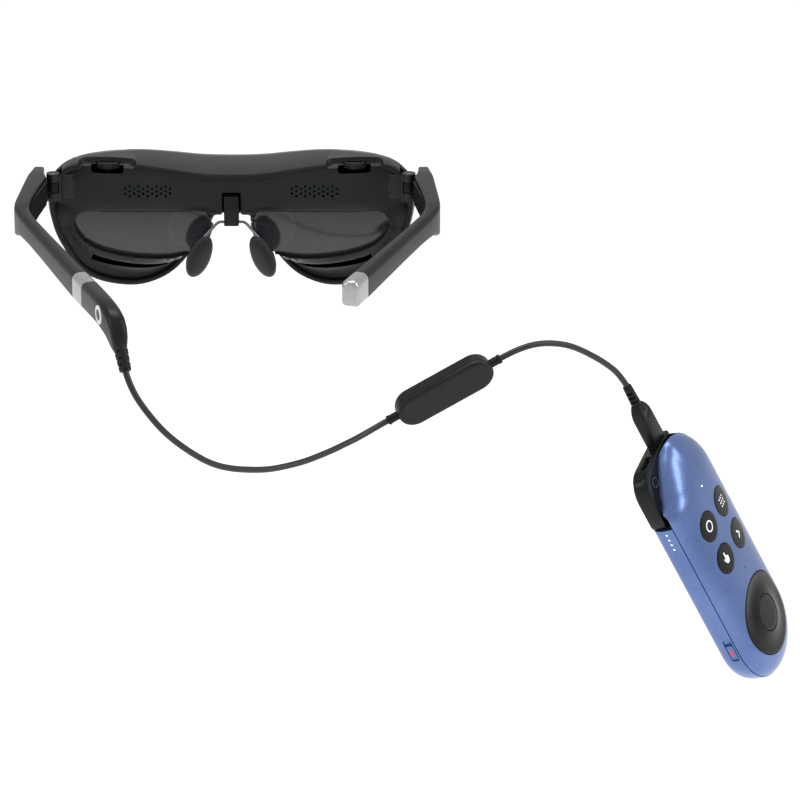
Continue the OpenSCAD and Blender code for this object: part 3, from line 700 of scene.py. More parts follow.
# ---------------------------------------------------------------- nose pads
# Soft silicone pads, oval and slightly crowned, moulded over nylon plates whose
# sleeves swivel on the wire's ends.
# Silicone is matte and slightly dusty at its edges.
silicone = moulded("Moulded silicone, matte", "#161719", "#1e1f21", 0.55, 0.35, 20, 0.05,
                   Sheen_Weight=0.15, Sheen_Roughness=0.5)


def steps_round(sides):
    """The cosine and sine of each step round a full turn."""
    return [(math.cos(2 * math.pi * k / sides), math.sin(2 * math.pi * k / sides)) for k in range(sides)]


pad_loops = []
for y, grow in ((1.35, 0.80), (1.3, 0.90), (0.9, 0.965), (0.2, 1.0), (-0.5, 0.99), (-1.1, 0.94), (-1.6, 0.85),
                (-2.0, 0.72), (-2.25, 0.52), (-2.35, 0.28), (-2.38, 0.08)):
    loop = []
    for c, s in steps_round(48):
        loop.append(on_pad(5.0 * grow * (1.0 - 0.10 * s) * c, y, 9.0 * grow * s))
    pad_loops.append(loop)
nose_pad = loft("nose_pad_right", pad_loops)
only(nose_pad)
bpy.ops.object.shade_smooth()
plate_loops = []
for y, grow in ((1.37, 0.86), (1.5, 0.92), (2.3, 0.92), (2.6, 0.86), (2.7, 0.6)):
    plate_loops.append([on_pad(4.6 * grow * c, y,
                                     8.3 * grow * s) for c, s in steps_round(48)])
pad_plate = loft("pad_plate_right", plate_loops)
sleeve = soften(rod("sleeve", on_pad(0, 4.2, -1.4), on_pad(0, 4.2, 1.4), 1.3, 40), 0.2, 3)
foot = block("foot", (-0.9, 2.4, -1.3), (0.9, 4.0, 1.3), pad_frame)
pad_plate = joined([pad_plate, foot, sleeve], "pad_plate_right")
carve(pad_plate, rod("bore", on_pad(0, 4.2, -4), on_pad(0, 4.2, 4), 0.64, 24))
close_up(pad_plate)
settle_pair(nose_pad, "nose_pad_left", silicone, ("nose_r", "nose_l"), "pad_rubber", "nose_pad")
settle_pair(pad_plate, "pad_plate_left", satin_abs, ("nose_r", "nose_l"), "frame", "pad_plate")

# ---------------------------------------------------------------- brow dials
# Ribbed acetal thumb wheels that focus each eyepiece, turning on steel pins.
# Bare acetal is a paler, waxy black, so the dials stand out from the brow.
acetal = moulded("Moulded acetal, matte", "#303133", "#414244", 0.45, 0.4, 10, 0.05, Specular_IOR_Level=0.5)
RIBS = 40
dial_loops = []
for z, r, depth in ((31.1, 3.6, 0), (31.1, 4.35, 0.1), (31.3, 4.46, 0.28), (33.4, 4.46, 0.28), (33.65, 4.35, 0.1),
                    (33.65, 3.9, 0), (33.35, 3.4, 0), (33.35, 1.4, 0)):
    loop = []
    for k in range(RIBS * 4):
        out = r + (0.14 if k % 4 in (0, 1) else -depth * 1.6)
        turn = 2 * math.pi * k / (RIBS * 4)
        loop.append((DIAL_X + out * math.cos(turn), DIAL_Y + out * math.sin(turn), z))
    dial_loops.append(loop)
dial = loft("dial_right", dial_loops)
carve(dial, rod("bore", (DIAL_X, DIAL_Y, 30), (DIAL_X, DIAL_Y, 35), 1.05, 24))
close_up(dial, 28)
settle_pair(dial, "dial_left", acetal, ("dial_r", "dial_l"), "dial", "dial")

# ---------------------------------------------------------------- temples
# Each temple is one long moulding in soft-touch coated nylon: a tall block behind
# the hinge, with a cover plate on the wearer's side, flowing into a slim arm.
# The soft-touch coat gives a deep black with wide, weak highlights.
soft_touch = moulded("Glass-filled nylon, soft-touch coat", "#0b0c0d", "#131416", 0.36, 0.5, 10, 0.06,
                     IOR=1.5, Specular_IOR_Level=0.13)
SPLAY_DEG = 20.3
SPLAY = math.radians(SPLAY_DEG)
arm_frame = Matrix.Translation((51.3 * MM, -110 * MM, 26 * MM)) @ Matrix.Rotation(-SPLAY, 4, "Z")


def on_arm(x, y, z):
    return placed(arm_frame, x, y, z)


def temple_loop(x, y, yaw, width, low, high, top_r=2.6, low_r=1.4):
    """A rounded upright section of the temple, across its path at one place."""
    across = Vector((math.cos(math.radians(yaw)), math.sin(math.radians(yaw)), 0))
    loop = []
    for cx, cz, r, start in ((width / 2, high, top_r, 0), (-width / 2, high, top_r, 90),
                             (-width / 2, low, low_r, 180), (width / 2, low, low_r, 270)):
        r = min(r, width / 2 - 0.05)
        mx, mz = cx - math.copysign(r, cx), (cz - r if cz == high else cz + r)
        for k in range(7):
            turn = math.radians(start + 15 * k)
            loop.append(Vector((x, y, mz + r * math.sin(turn))) + across * (mx + r * math.cos(turn)))
    return [tuple(p) for p in loop]


def arm_loop(y, offset, width, low, high, top_r=2.6, low_r=1.4):
    """A section across the straight arm, at a distance along it."""
    return temple_loop(*on_arm(offset, y, 0)[:2], -SPLAY_DEG, width, low, high, top_r, low_r)


temple_stations = [arm_loop(0.03, 0, 6.4, 21.1, 30.9), arm_loop(0.2, 0, 6.8, 20.9, 31.1),
                   arm_loop(20, 0.05, 6.4, 21.6, 31.25), arm_loop(42, 0.1, 5.9, 22.4, 31.4),
                   arm_loop(60, 0.15, 5.6, 22.9, 31.6, 2.4), arm_loop(69, 0.3, 5.6, 22.9, 31.8, 2.2),
                   *(temple_loop(*row) for row in (
                       (77.0, -40.3, -16, 5.7, 22.3, 31.95, 2.0), (78.0, -37.0, -9, 5.9, 20.9, 32.1, 1.7),
                       (78.4, -34.0, -2, 6.0, 20.1, 32.3, 1.4, 1.2), (78.45, -30.0, 3, 6.0, 20.0, 32.4, 1.1, 1.0),
                       (78.15, -25, 5, 6.0, 20.0, 32.4, 1.0, 0.9), (76.9, -12, 5.5, 6.6, 20.0, 32.4, 1.0, 0.9),
                       (75.3, 2.5, 5.5, 7.6, 20.0, 32.4, 1.0, 0.9), (75.45, 6.2, 5.5, 6.3, 20.0, 32.4, 1.0, 0.9),
                       (75.5, 8.0, 5, 5.4, 20.05, 32.35, 0.9, 0.9), (75.15, 14.4, 4, 4.1, 20.2, 32.2, 0.8, 0.8),
                       (75.1, 14.9, 4, 3.5, 20.5, 31.9, 0.6, 0.6)))]
temple = loft("temple_right", temple_stations)
HINGE = (69.5, 10)
knuckle = soften(rod("knuckle", (*HINGE, 23.5), (*HINGE, 27.5), 2.6, 48), 0.25, 3)
bridge_bar = soften(block("bar", (70.5, 8.6, 23.6), (74.2, 11.4, 27.4)), 0.3, 2)
pocket_points = [(60, 1.6), (76.5, 1.6), (79.2, -26.2), (60, -26.2)]
pocket = loft("pocket", [[(x, y, z) for x, y in pocket_points] for z in (21.8, 30.6)])
carve(temple, pocket)
temple = joined([temple, knuckle, bridge_bar], "temple_right")
carve(temple, rod("bore", (*HINGE, 20), (*HINGE, 33), 1.15, 24))
close_up(temple, 34)
TEMPLES = ("temple_right", "temple_left")
settle_pair(temple, "temple_left", soft_touch, TEMPLES, "temple", "temple_outer")

# Inner cover plate: grained ABS snapped into the block, with a row of sound slots.
plate_points = [(71.1, 1.5), (72.7, 1.5), (77.1, -26.1), (75.45, -26.1)]
inner_plate = loft("temple_plate_right", [[(x, y, z) for x, y in plate_points] for z in (21.9, 30.5)])
soften(inner_plate, 0.35, 3)
slots = []
for k in range(6):
    slots.append(block("slot", (66, -7.2 - k * 1.5, 24.6), (80, -6.5 - k * 1.5, 27.8)))
carve(inner_plate, joined(slots, "slots"))
close_up(inner_plate)
settle_pair(inner_plate, "temple_plate_left", grained_abs, TEMPLES, "cover", "temple_inner")

# ---------------------------------------------------------------- temple tips
# Die-cast zinc, satin chrome plated and brushed along its length: a rounded cap
# on the right arm, a plain band between the left arm and the cable's boot.
# Brushing gives the eye a pale metal with fine streaks along the arm; they are
# drawn 0.12 mm apart, about twice as coarse as real ones, so that they show.
satin_chrome, tree, surface = finish_of("Satin chrome plate, brushed", Metallic=1.0)
stretch = add(tree, "Mapping", Vector=add(tree, "TexCoord").outputs["Object"], Rotation=(0, 0, SPLAY),
              Scale=(1 / (0.12 * MM), 1 / (6 * MM), 1 / (0.12 * MM)))
brush = add(tree, "TexNoise", Vector=stretch, Scale=1.0, Detail=3.0)
wire(tree, surface, Base_Color=add(tree, "ValToRGB", stops=((0.3, "#8e8f91"), (0.7, "#b9babc")), n0=brush),
     Roughness=add(tree, "MapRange", n0=brush, n3=0.2, n4=0.36),
     Normal=add(tree, "Bump", Height=brush, Strength=0.25, Distance=4e-6))
cap_loops = [arm_loop(-0.05, 0, 6.5, 21.1, 30.95), arm_loop(-0.25, 0, 6.8, 20.9, 31.1),
             arm_loop(-9.2, 0, 6.75, 20.9, 31.1)]
for k in range(1, 7):
    turn = math.radians(15 * k)
    inset = 1.5 * (1 - math.cos(turn))
    cap_loops.append(arm_loop(-9.2 - 2.2 * math.sin(turn), 0, 6.75 - 2 * inset, 20.9 + inset, 31.1 - inset,
                              2.6 - inset * 0.5, 1.4))
tip_cap = loft("tip_cap", cap_loops)
settle(tip_cap, satin_chrome, "temple_right", "tip_metal", "tip_cap_right")
band_loops = [arm_loop(y, 0, 6.8 - 2 * inset, 20.9 + inset, 31.1 - inset)
              for y, inset in ((-0.05, 0.25), (-0.25, 0.0), (-11.25, 0.0), (-11.45, 0.25))]
tip_band = loft("tip_band", band_loops)
to_left(tip_band)
settle(tip_band, satin_chrome, "temple_left", "tip_metal", "tip_band_left")

# ---------------------------------------------------------------- cable boot
# Over the left arm's end: a satin nylon boot that swells down to the cable, with
# a plain ringed disc on its outer side; it pulls off its magnetic contacts.
boot_path = [(-11.55, 0.0, 6.3, 9.7, 0), (-11.8, 0.0, 6.8, 10.2, 0), (-20, 0.0, 6.8, 10.2, 0),
             (-28, -0.05, 6.8, 10.2, 3), (-33, -0.35, 6.8, 10.3, 8), (-37, -1.1, 6.8, 10.4, 17),
             (-40.2, -2.6, 6.8, 10.2, 29), (-42.4, -4.7, 6.6, 9.2, 42), (-43.9, -6.9, 6.2, 7.6, 50),
             (-44.9, -8.6, 5.6, 6.2, 51), (-45.5, -9.6, 4.9, 5.3, 51)]


def boot_section(y, z, wide, tall, dip, x=0.0, r=2.4):
    """A rounded section across the boot, at a place along the arm, dipping by an angle."""
    up = Vector((0, math.sin(math.radians(dip)) * -1, math.cos(math.radians(dip))))
    loop = []
    for sx, sz, start in ((1, 1, 0), (-1, 1, 90), (-1, -1, 180), (1, -1, 270)):
        radius = min(r, wide / 2 - 0.05, tall / 2 - 0.05) if sz > 0 else min(1.6, wide / 2 - 0.05)
        for k in range(7):
            turn = math.radians(start + 15 * k)
            across = sx * (wide / 2 - radius) + radius * math.cos(turn)
            rise = sz * (tall / 2 - radius) + radius * math.sin(turn)
            place = Vector((x + across, y, z)) + up * rise
            loop.append(on_arm(*place))
    return loop


boot_loops = []
for row in boot_path:
    boot_loops.append(boot_section(*row, x=-0.8 * smooth_step(-34, -44, row[0]) if row[0] < -34 else 0.0))
boot = loft("cable_boot", boot_loops)
BADGE_AT = (-33, -0.4)
carve(boot, rod("seat", on_arm(3.0, *BADGE_AT), on_arm(4.4, *BADGE_AT), 3.62, 64))
to_left(boot, 40)
# Moulded nylon shows as satin black, a little greyer than the arm beside it.
satin_nylon = moulded("Moulded nylon, satin black", "#0f1011", "#17181a", 0.36, 0.5, 9, 0.05, IOR=1.53)
settle(boot, satin_nylon, "temple_left", "boot", "cable_boot", "boot_contacts")

# Disc: pale satin paint on zinc with a plain dark ring, let into the boot.
# Pale paint and dark ink make the badge a light ring with a dark middle.
disc_paint = moulded("Satin paint on zinc, pale", "#c9cacb", "#d6d7d8", 0.35, 0.5, 6, 0.05)
disc_dark = moulded("Pad-printed ink, dark", "#242527", "#2c2d2f", 0.4, 0.5, 4, 0.05)
badge = soften(rod("boot_badge", on_arm(3.02, *BADGE_AT), on_arm(3.52, *BADGE_AT), 3.55, 64), 0.18, 3)
badge_ring = rod("badge_middle", on_arm(3.3, *BADGE_AT), on_arm(3.55, *BADGE_AT), 2.1, 48)
paint(badge, disc_paint)
paint(badge_ring, disc_dark)
badge = joined([badge, badge_ring], "boot_badge")
to_left(badge)
settle(badge, None, "temple_left", "badge", "boot_badge")

# ---------------------------------------------------------------- strain reliefs
# Soft TPE moulded over the cable, tapered, with notches cut in from both sides
# so it bends evenly.
# Overmoulded TPE is matte and takes no clear highlight.
soft_tpe = moulded("Overmoulded TPE, matte", "#121314", "#1b1c1d", 0.5, 0.4, 14, 0.05)


def relief(name, place, turn, long_mm, wide, thin, notches, pitch):
    """A tapered relief along -Z of its own frame, flattened a little, notched on two sides."""
    spot = Matrix.Translation(Vector(place) * MM) @ (turn @ Matrix.Rotation(math.pi / 2, 4, "Z"))
    rows = []
    for z, r in ((0.4, wide * 0.9), (0.0, wide), (-long_mm * 0.5, (wide + thin) / 2), (-long_mm + 0.35, thin),
                 (-long_mm + 0.08, thin - 0.12), (-long_mm, thin - 0.4), (-long_mm, 1.22), (-long_mm + 0.6, 1.2)):
        rows.append([placed(spot, r * c * 0.98,
                                            r * s, z) for c, s in steps_round(40)])
    body = loft(name, rows)
    for k in range(notches):
        level = -long_mm + 2.0 + k * pitch
        reach = thin + (wide - thin) * (-level / long_mm)
        for side in (-1, 1):
            shift = pitch / 2 if side > 0 else 0.0
            low, high = sorted((side * (reach * 0.42), side * (reach + 2)))
            cutter = block("notch", (-4, low, level + shift - 0.42), (4, high, level + shift + 0.42), spot)
            carve(body, cutter)
    return close_up(body, 38)


boot_turn = (Matrix.Rotation(-SPLAY, 4, "Z") @ Matrix.Rotation(math.radians(50 - 90), 4, "X"))
boot_relief = relief("boot_bend_relief", on_arm(-0.8, -43.9, -7), boot_turn,
                     12.0, 2.75, 2.25, 3, 2.6)
to_left(boot_relief, 38)
settle(boot_relief, soft_tpe, "temple_left", "relief", "boot_relief")

# ---------------------------------------------------------------- inline box
# Flat capsule of two grained ABS shells joined at a fine seam near its face; it
# holds the signal converter, with a short TPE collar on the cable at each end.
inline_turn = (Matrix.Rotation(math.radians(11), 4, "Z") @ Matrix.Rotation(math.radians(-27), 4, "Y")
               @ Matrix.Rotation(math.radians(110), 4, "X"))
inline_frame = Matrix.Translation((82.5 * MM, -85 * MM, -24 * MM)) @ inline_turn


def capsule(radius, z, half=13, steps=20):
    """A ring round the box's capsule plan at one height."""
    loop = []
    for end in (1, -1):
        for k in range(steps + 1):
            turn = math.pi * (k / steps - 0.5) + (0 if end > 0 else math.pi)
            along, across = end * half + radius * math.cos(turn), radius * math.sin(turn)
            loop.append(placed(inline_frame, along, across, z))
    return loop


lower_rows = [(4.4, -3.5), (5.2, -3.5), (6.0, -3.32), (6.5, -2.95), (6.85, -2.3), (7.0, -1.3),
              (7.0, 1.15), (6.85, 1.28)]
upper_rows = [(6.85, 1.36), (7.0, 1.48), (7.0, 2.35), (6.86, 2.85), (6.5, 3.25), (6.05, 3.46),
              (5.5, 3.5), (4.4, 3.5)]
# Fine matte ABS keeps the box dull, so that only its edges catch light.
inline_abs = moulded("Moulded ABS, fine matte", "#141517", "#1d1e20", 0.40, 0.45, 12, 0.05, IOR=1.54)
inline_lower = loft("inline_lower", [capsule(r, z) for r, z in lower_rows])
inline_upper = loft("inline_upper", [capsule(r, z) for r, z in upper_rows])
collars = []
for end in (-1, 1):
    rows = []
    for x, r in ((19.2, 1.7), (22.9, 1.68), (23.15, 1.85), (24.05, 1.85), (24.3, 1.62), (24.3, 1.25), (23.8, 1.2)):
        rows.append([placed(inline_frame, end * x, r * c,
                                                    0.2 + r * s) for c, s in steps_round(32)])
    collars.append(loft("collar", rows))
inline_collars = joined(collars, "inline_collars")
close_up(inline_collars)
settle(inline_collars, soft_tpe, "front", "relief", "inline_reliefs")
for piece, node_name in ((inline_lower, "inline_bottom"), (inline_upper, "inline_top")):
    settle(piece, inline_abs, "front", "inline", node_name)

# ---------------------------------------------------------------- hand control
# Crowned handset that lies in the palm: two shells moulded in ABS and lacquered
# metallic blue, screwed together so that they meet at a fine groove.
control_turn = (Matrix.Rotation(math.radians(69), 4, "Z") @ Matrix.Rotation(math.radians(-18), 4, "Y")
                @ Matrix.Rotation(math.radians(69), 4, "X"))
control_frame = Matrix.Translation((190 * MM, -45 * MM, -108 * MM)) @ control_turn
HALF_W, REACH, CROWN, LOW = 22.8, 32.9, 8.3, -1.5
FULLNESS = 0.77  # under 1 the crown is fuller than an ellipse


def on_control(x, y, z):
    return placed(control_frame, x, y, z)


def crown_height(x, y):
    """Height of the crowned face over a place on the control."""
    out = math.hypot(x, max(0.0, abs(y) - REACH))
    share = min(1.0, out / HALF_W) ** (1 / FULLNESS)
    return LOW + (CROWN - LOW) * math.sqrt(max(0.0, 1 - share * share)) ** FULLNESS


def oval(radius, z, steps=32):
    """A ring round the control at one height."""
    loop = []
    for end in (1, -1):
        for k in range(steps + 1):
            turn = math.pi * k / steps + (0 if end > 0 else math.pi)
            loop.append(on_control(radius * math.cos(turn), end * REACH + radius * math.sin(turn), z))
    return loop


# Lacquer over flake gives the eye a satin blue that turns paler where it faces the
# light. The flakes are drawn 0.22 mm wide, several times real size, so that they show.
blue_paint, tree, surface = finish_of("Metallic blue lacquer on ABS, satin", Metallic=0.88, IOR=1.5,
                                      Coat_Weight=0.15, Coat_Roughness=0.2)
where = add(tree, "TexCoord").outputs["Object"]
flake = add(tree, "TexVoronoi", Vector=where, Scale=1 / (0.22 * MM))
drift = add(tree, "TexNoise", Vector=where, Scale=1 / (18 * MM), Detail=3.0)
glint = add(tree, "SeparateColor", Color=flake.outputs["Color"])
pearl = add(tree, "Mix", {"data_type": "RGBA"}, n0=0.22,
            n6=add(tree, "ValToRGB", stops=((0.35, "#53689a"), (0.7, "#6076a8")), n0=drift),
            n7=add(tree, "ValToRGB", stops=((0.0, "#455a8c"), (1.0, "#7f95c6")), n0=glint))
wire(tree, surface, Base_Color=pearl.outputs[2], Roughness=add(tree, "MapRange", n0=drift, n3=0.27, n4=0.34),
     Normal=add(tree, "Bump", Height=flake, Strength=0.18, Distance=6e-6))

SEAM = 1.8


def crown_rows(angles):
    rows = []
    for a in angles:
        s, c = math.sin(math.radians(a)), max(0.0, math.cos(math.radians(a)))
        rows.append((HALF_W * s ** FULLNESS, LOW + (CROWN - LOW) * c ** FULLNESS))
    return rows


seam_angle = math.degrees(math.acos(((SEAM - LOW) / (CROWN - LOW)) ** (1 / FULLNESS)))
face_rows = crown_rows([seam_angle] + [seam_angle * k / 26 for k in range(25, 0, -1)])
first = face_rows[0]
face_rows = [(first[0] - 1.6, SEAM + 0.06), (first[0] - 0.35, SEAM + 0.06),
             (first[0] - 0.1, SEAM + 0.14)] + face_rows[1:]
CORNER_LINE = [(-22.8, 29), (-22.6, 31), (-21.4, 34), (-19.4, 37.6), (-16, 43.4), (-11.6, 48), (-6.6, 51.6), (-1, 54.2),
               (3.5, 57.4)]


def corner_share(x, y):
    """How far out the face reaches in this direction, next to a full oval."""
    if x > 3 or y <= REACH:
        return 1.0
    way = Vector((x, y - REACH)).normalized()
    for (ax, ay), (bx, by) in zip(CORNER_LINE, CORNER_LINE[1:]):
        along, to = Vector((bx - ax, by - ay)), Vector((ax, ay - REACH))
        cross = way.x * along.y - way.y * along.x
        if abs(cross) < 1e-9:
            continue
        reach_out = (to.x * along.y - to.y * along.x) / cross
        place = (to.x * way.y - to.y * way.x) / cross
        if -1e-6 <= place <= 1 + 1e-6 and reach_out > 0:
            return min(1.0, reach_out / HALF_W)
    return 1.0


def face_loop(radius, z, skirt=False):
    """A ring of the face, drawn in at the socket corner; a skirt there reaches down to it."""
    loop = []
    for end in (1, -1):
        for k in range(33):
            turn = math.pi * k / 32 + (0 if end > 0 else math.pi)
            x, y = radius * math.cos(turn), radius * math.sin(turn)
            share = corner_share(x, end * REACH + y) if end > 0 and radius > 1 else 1.0
            share = 1 - (1 - share) * smooth_step(0.0, 0.4, y / radius)
            down = (SEAM + 0.55) * smooth_step(0.0, 0.07, 1 - share) if skirt else 0.0
            loop.append(on_control(x * share, end * REACH + y * share, z - down))
    return loop


face_loops = [face_loop(HALF_W - 6, SEAM + 0.06), face_loop(face_rows[0][0], SEAM + 0.06, True),
              face_loop(face_rows[1][0], SEAM + 0.06, True), face_loop(face_rows[2][0], SEAM + 0.14, True)]
face_loops += [face_loop(r, z) for r, z in face_rows[3:]]
front_shell = loft("control_front_shell", face_loops)

KEYS = {"grid": (8.0, 19.9), "home": (-8.0, 19.9), "back": (8.0, 3.9), "pointer": (-8.0, 3.9)}
PAD_Y, PAD_R, MIDDLE_R, KEY_R = -30.0, 16.6, 7.3, 6.0
for x, y in KEYS.values():
    carve(front_shell, rod("key_hole", on_control(x, y, 2.5), on_control(x, y, 12), KEY_R + 0.2, 72))
carve(front_shell, rod("pad_hole", on_control(0, PAD_Y, 2.5), on_control(0, PAD_Y, 12), PAD_R + 0.25, 128))
carve(front_shell, joined([rod("pin_hole", on_control(0.4, y, 5), on_control(0.4, y, 12), r, 20)
                           for y, r in ((33.3, 0.45), (-7.7, 0.38))], "pin_holes"))
close_up(front_shell, 30)
soften(front_shell, 0.16, 2, 42)
bpy.ops.object.shade_smooth_by_angle(angle=math.radians(38))
settle(front_shell, blue_paint, "front", "body_blue", "remote_front_shell")

back_rows = [(HALF_W - 4.8, -7.6), (HALF_W - 4.0, -7.58), (HALF_W - 3.0, -7.35), (HALF_W - 2.1, -6.9),
             (HALF_W - 1.3, -6.2), (HALF_W - 0.75, -5.2), (HALF_W - 0.35, -4.0), (HALF_W - 0.12, -2.6),
             (HALF_W - 0.05, -1.2), (HALF_W - 0.1, 0.4), (HALF_W - 0.2, SEAM - 0.22), (HALF_W - 0.35, SEAM - 0.08)]
back_shell = loft("control_back_shell", [oval(r, z) for r, z in back_rows])
carve(back_shell, block("corner", (-32, 30.9, -20), (-21.6, 63, 20), control_frame))
carve(back_shell, block("corner", (-32, 43, -20), (-17.4, 63, 20), control_frame))
carve(back_shell, block("corner", (-32, 53.4, -20), (11.5, 63, 20), control_frame))
MODULE = [(-22.1, 30.9), (-22.1, 46), (-20.7, 50.7), (-17.4, 53.7), (-14, 54.5), (11.5, 54.5), (11.5, 35.9),
          (-7.95, 35.9), (-13.95, 33.5), (-16.95, 30.9)]
carve(back_shell, loft("module_room", [[on_control(x, y, z) for x, y in MODULE] for z in (-12, 12)]))
switch_room = soften(block("switch_room", (-25, -34.8, -2.25), (-21.7, -24.2, 1.25), control_frame), 1.1, 5)
carve(back_shell, switch_room)
LAMPS_FROM, LAMP_PITCH = 28.7, 2.33
lamp_holes = []
for k in range(4):
    y = LAMPS_FROM - LAMP_PITCH * k
    lamp_holes.append(rod("lamp_hole", on_control(-24, y, -1.6), on_control(-16, y, -1.6), 0.45, 20))
carve(back_shell, joined(lamp_holes, "lamp_holes"))
close_up(back_shell, 30)
soften(back_shell, 0.14, 2, 42)
bpy.ops.object.shade_smooth_by_angle(angle=math.radians(38))
settle(back_shell, blue_paint, "front", "body_blue", "remote_back_shell")

# ---------------------------------------------------------------- socket corner
# Gloss black polycarbonate corner let into the shells; it holds two USB-C
# sockets and one round key with a ring moulded on it.
# Semi-gloss polycarbonate reflects softly, darker than the blue round it.
gloss_pc = moulded("Moulded polycarbonate, semi-gloss black", "#0d0e0f", "#141516", 0.22, 0.8, 3, 0.04,
                   IOR=1.58)
MODULE_ROUND = [(-21.9, 32.6), (-21.9, 38), (-21.9, 44.5), (-21.5, 47.2), (-20.3, 50.0), (-18.2, 52.6), (-15.6, 54.0),
                (-13, 54.4), (-4, 54.4), (4, 54.4), (11.4, 54.4), (11.4, 45), (11.4, 36), (-8, 36), (-14, 33.7),
                (-17.0, 31.9), (-18.4, 31.3), (-20.0, 31.05), (-21.3, 31.5)]
rows = []
for inset, z in ((1.2, -7.2), (0.5, -7.1), (0.12, -6.7), (0.0, -6.1), (0.0, -1.5), (0.1, -0.95), (0.45, -0.62), (1.1, -0.55)):
    ring = [Vector(p) for p in MODULE_ROUND]
    rows.append([on_control(p.x, p.y, z) for p in pulled_in(ring[::-1], -inset)][::-1])
module = loft("port_module", rows)
for u in (-9.4, 4.5):
    mouth = soften(block("mouth", (u - 4.45, 46, -4.95), (u + 4.45, 60, -1.85), control_frame), 1.4, 5)
    carve(module, mouth)
PORT_KEY = (-14.2, 48.2)
carve(module, rod("key_well", on_control(*PORT_KEY, -1.6), on_control(*PORT_KEY, 3), 2.75, 48))
close_up(module, 30)
soften(module, 0.12, 2, 45)
bpy.ops.object.shade_smooth_by_angle(angle=math.radians(38))
settle(module, gloss_pc, "front", "module", "port_module")
port_key = rod("port_key", on_control(*PORT_KEY, -1.1), on_control(*PORT_KEY, -0.3), 2.62, 48)
carve(port_key, rod("dish", on_control(*PORT_KEY, -0.5), on_control(*PORT_KEY, 1), 1.75, 48))
soften(port_key, 0.12, 3)
paint(port_key, gloss_pc)
key_rows = []
for r, z in ((2.05, -0.34), (2.05, -0.24), (1.8, -0.24), (1.8, -0.34)):
    key_rows.append([on_control(PORT_KEY[0] + r * c, PORT_KEY[1] + r * s, z)
                     for c, s in steps_round(40)])
key_ring = loft("key_ring", key_rows, around=True)
paint(key_ring, satin_chrome)
port_key = joined([port_key, key_ring], "port_key")
settle(port_key, None, "key_side", "key", "port_key")
# Bright nickel in the sockets and on the plug, seen only as a pale rim.
nickel = worked_metal("Nickel plated steel", "#a9aaab", "#c8c9ca", 0.2, 0.34, 1.2, 3.0)
for node_name in ("usb_sockets", "plug_shell"):
    paint(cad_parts[node_name], nickel)

# ---------------------------------------------------------------- plug
# Slim overmould of satin TPE with eased shoulders round a USB-C shell, and a
# notched relief where the cable enters.
plug_frame = control_frame @ Matrix.Translation((4.5 * MM, 54.4 * MM, -3.4 * MM))
rows = []
for y, wide, thick in ((0.2, 8.0, 4.6), (0.3, 8.5, 5.1), (0.7, 8.8, 5.4), (11.5, 8.8, 5.4), (14.2, 8.5, 5.3), (16.2, 7.2, 5.0),
                       (17.6, 5.6, 4.5), (18.4, 4.4, 4.0)):
    loop = []
    r = min(1.15, thick / 2 - 0.05)
    for sx, sz, start in ((1, 1, 0), (-1, 1, 90), (-1, -1, 180), (1, -1, 270)):
        for k in range(6):
            turn = math.radians(start + 18 * k)
            loop.append(placed(plug_frame, sx * (wide / 2 - r) + r * math.cos(turn), y,
                                                     sz * (thick / 2 - r) + r * math.sin(turn)))
    rows.append(loop)
plug = loft("plug_grip", rows)
dimple_rows = soften(block("grip_dish", (-2.6, 12.2, 2.45), (2.6, 15.4, 4), plug_frame), 1.2, 4)
carve(plug, dimple_rows)
close_up(plug, 34)
settle(plug, satin_nylon, "front", "plug", "plug_overmold")
plug_turn = control_turn @ Matrix.Rotation(math.radians(90), 4, "X")
plug_relief = relief("plug_bend_relief", placed(plug_frame, 0, 18.42, 0), plug_turn,
                     9.0, 2.1, 1.8, 3, 2.0)
settle(plug_relief, soft_tpe, "front", "relief", "plug_relief")

# ---------------------------------------------------------------- keys
# Four round polycarbonate keys, gloss black, flush with the crown; each icon is
# white ink printed on the key.
# Gloss keys read as black dots on the blue; the opaque ink stays flat and white.
key_black = moulded("Moulded polycarbonate, gloss black key", "#0a0b0c", "#101113", 0.18, 0.9, 2, 0.03,
                    IOR=1.58)
white_ink = moulded("Screen-printed ink, white", "#eceef0", "#f6f7f8", 0.45, 0.3, 3, 0.05)


def crowned_disc(name, x, y, radius, lift, floor_z, hole=0.0, dish=0.0, rings=10, sides=72):
    """A button whose top follows the crown, with a rolled edge."""
    rows = [[on_control(x + radius * c, y + radius * s, floor_z)
             for c, s in steps_round(sides)]]
    stops = [(radius, -0.35), (radius - 0.05, -0.16), (radius - 0.15, -0.05), (radius - 0.35, 0.0)]
    inner = hole + 0.35 if hole else 0.05
    stops += [(radius - 0.35 - (radius - 0.35 - inner) * k / rings, 0.0) for k in range(1, rings + 1)]
    if hole:
        stops += [(hole + 0.15, -0.05), (hole + 0.05, -0.16), (hole, -0.35)]
    for r, drop in stops:
        sink = dish * math.sin(math.pi * min(1, max(0, (radius - r) / (radius - hole)))) if dish else 0.0
        row = []
        for c, s in steps_round(sides):
            px, py = x + r * c, y + r * s
            row.append(on_control(px, py, crown_height(px, py) + lift + drop - sink))
        rows.append(row)
    if hole:
        rows.append([on_control(x + hole * c, y + hole * s, floor_z)
                     for c, s in steps_round(sides)])
    return loft(name, rows, around=bool(hole))


def icon(name, shapes, x, y, lift=0.19):
    """Thin printed shapes laid on the crown: each shape is an outline round the key's middle."""
    made = []
    for shape in shapes:
        rows = []
        for rise in (-0.05, 0.035):
            rows.append([on_control(x + px, y + py, crown_height(x + px, y + py) + lift + rise)
                         for px, py in shape])
        made.append(loft(name, rows))
    return joined(made, name)


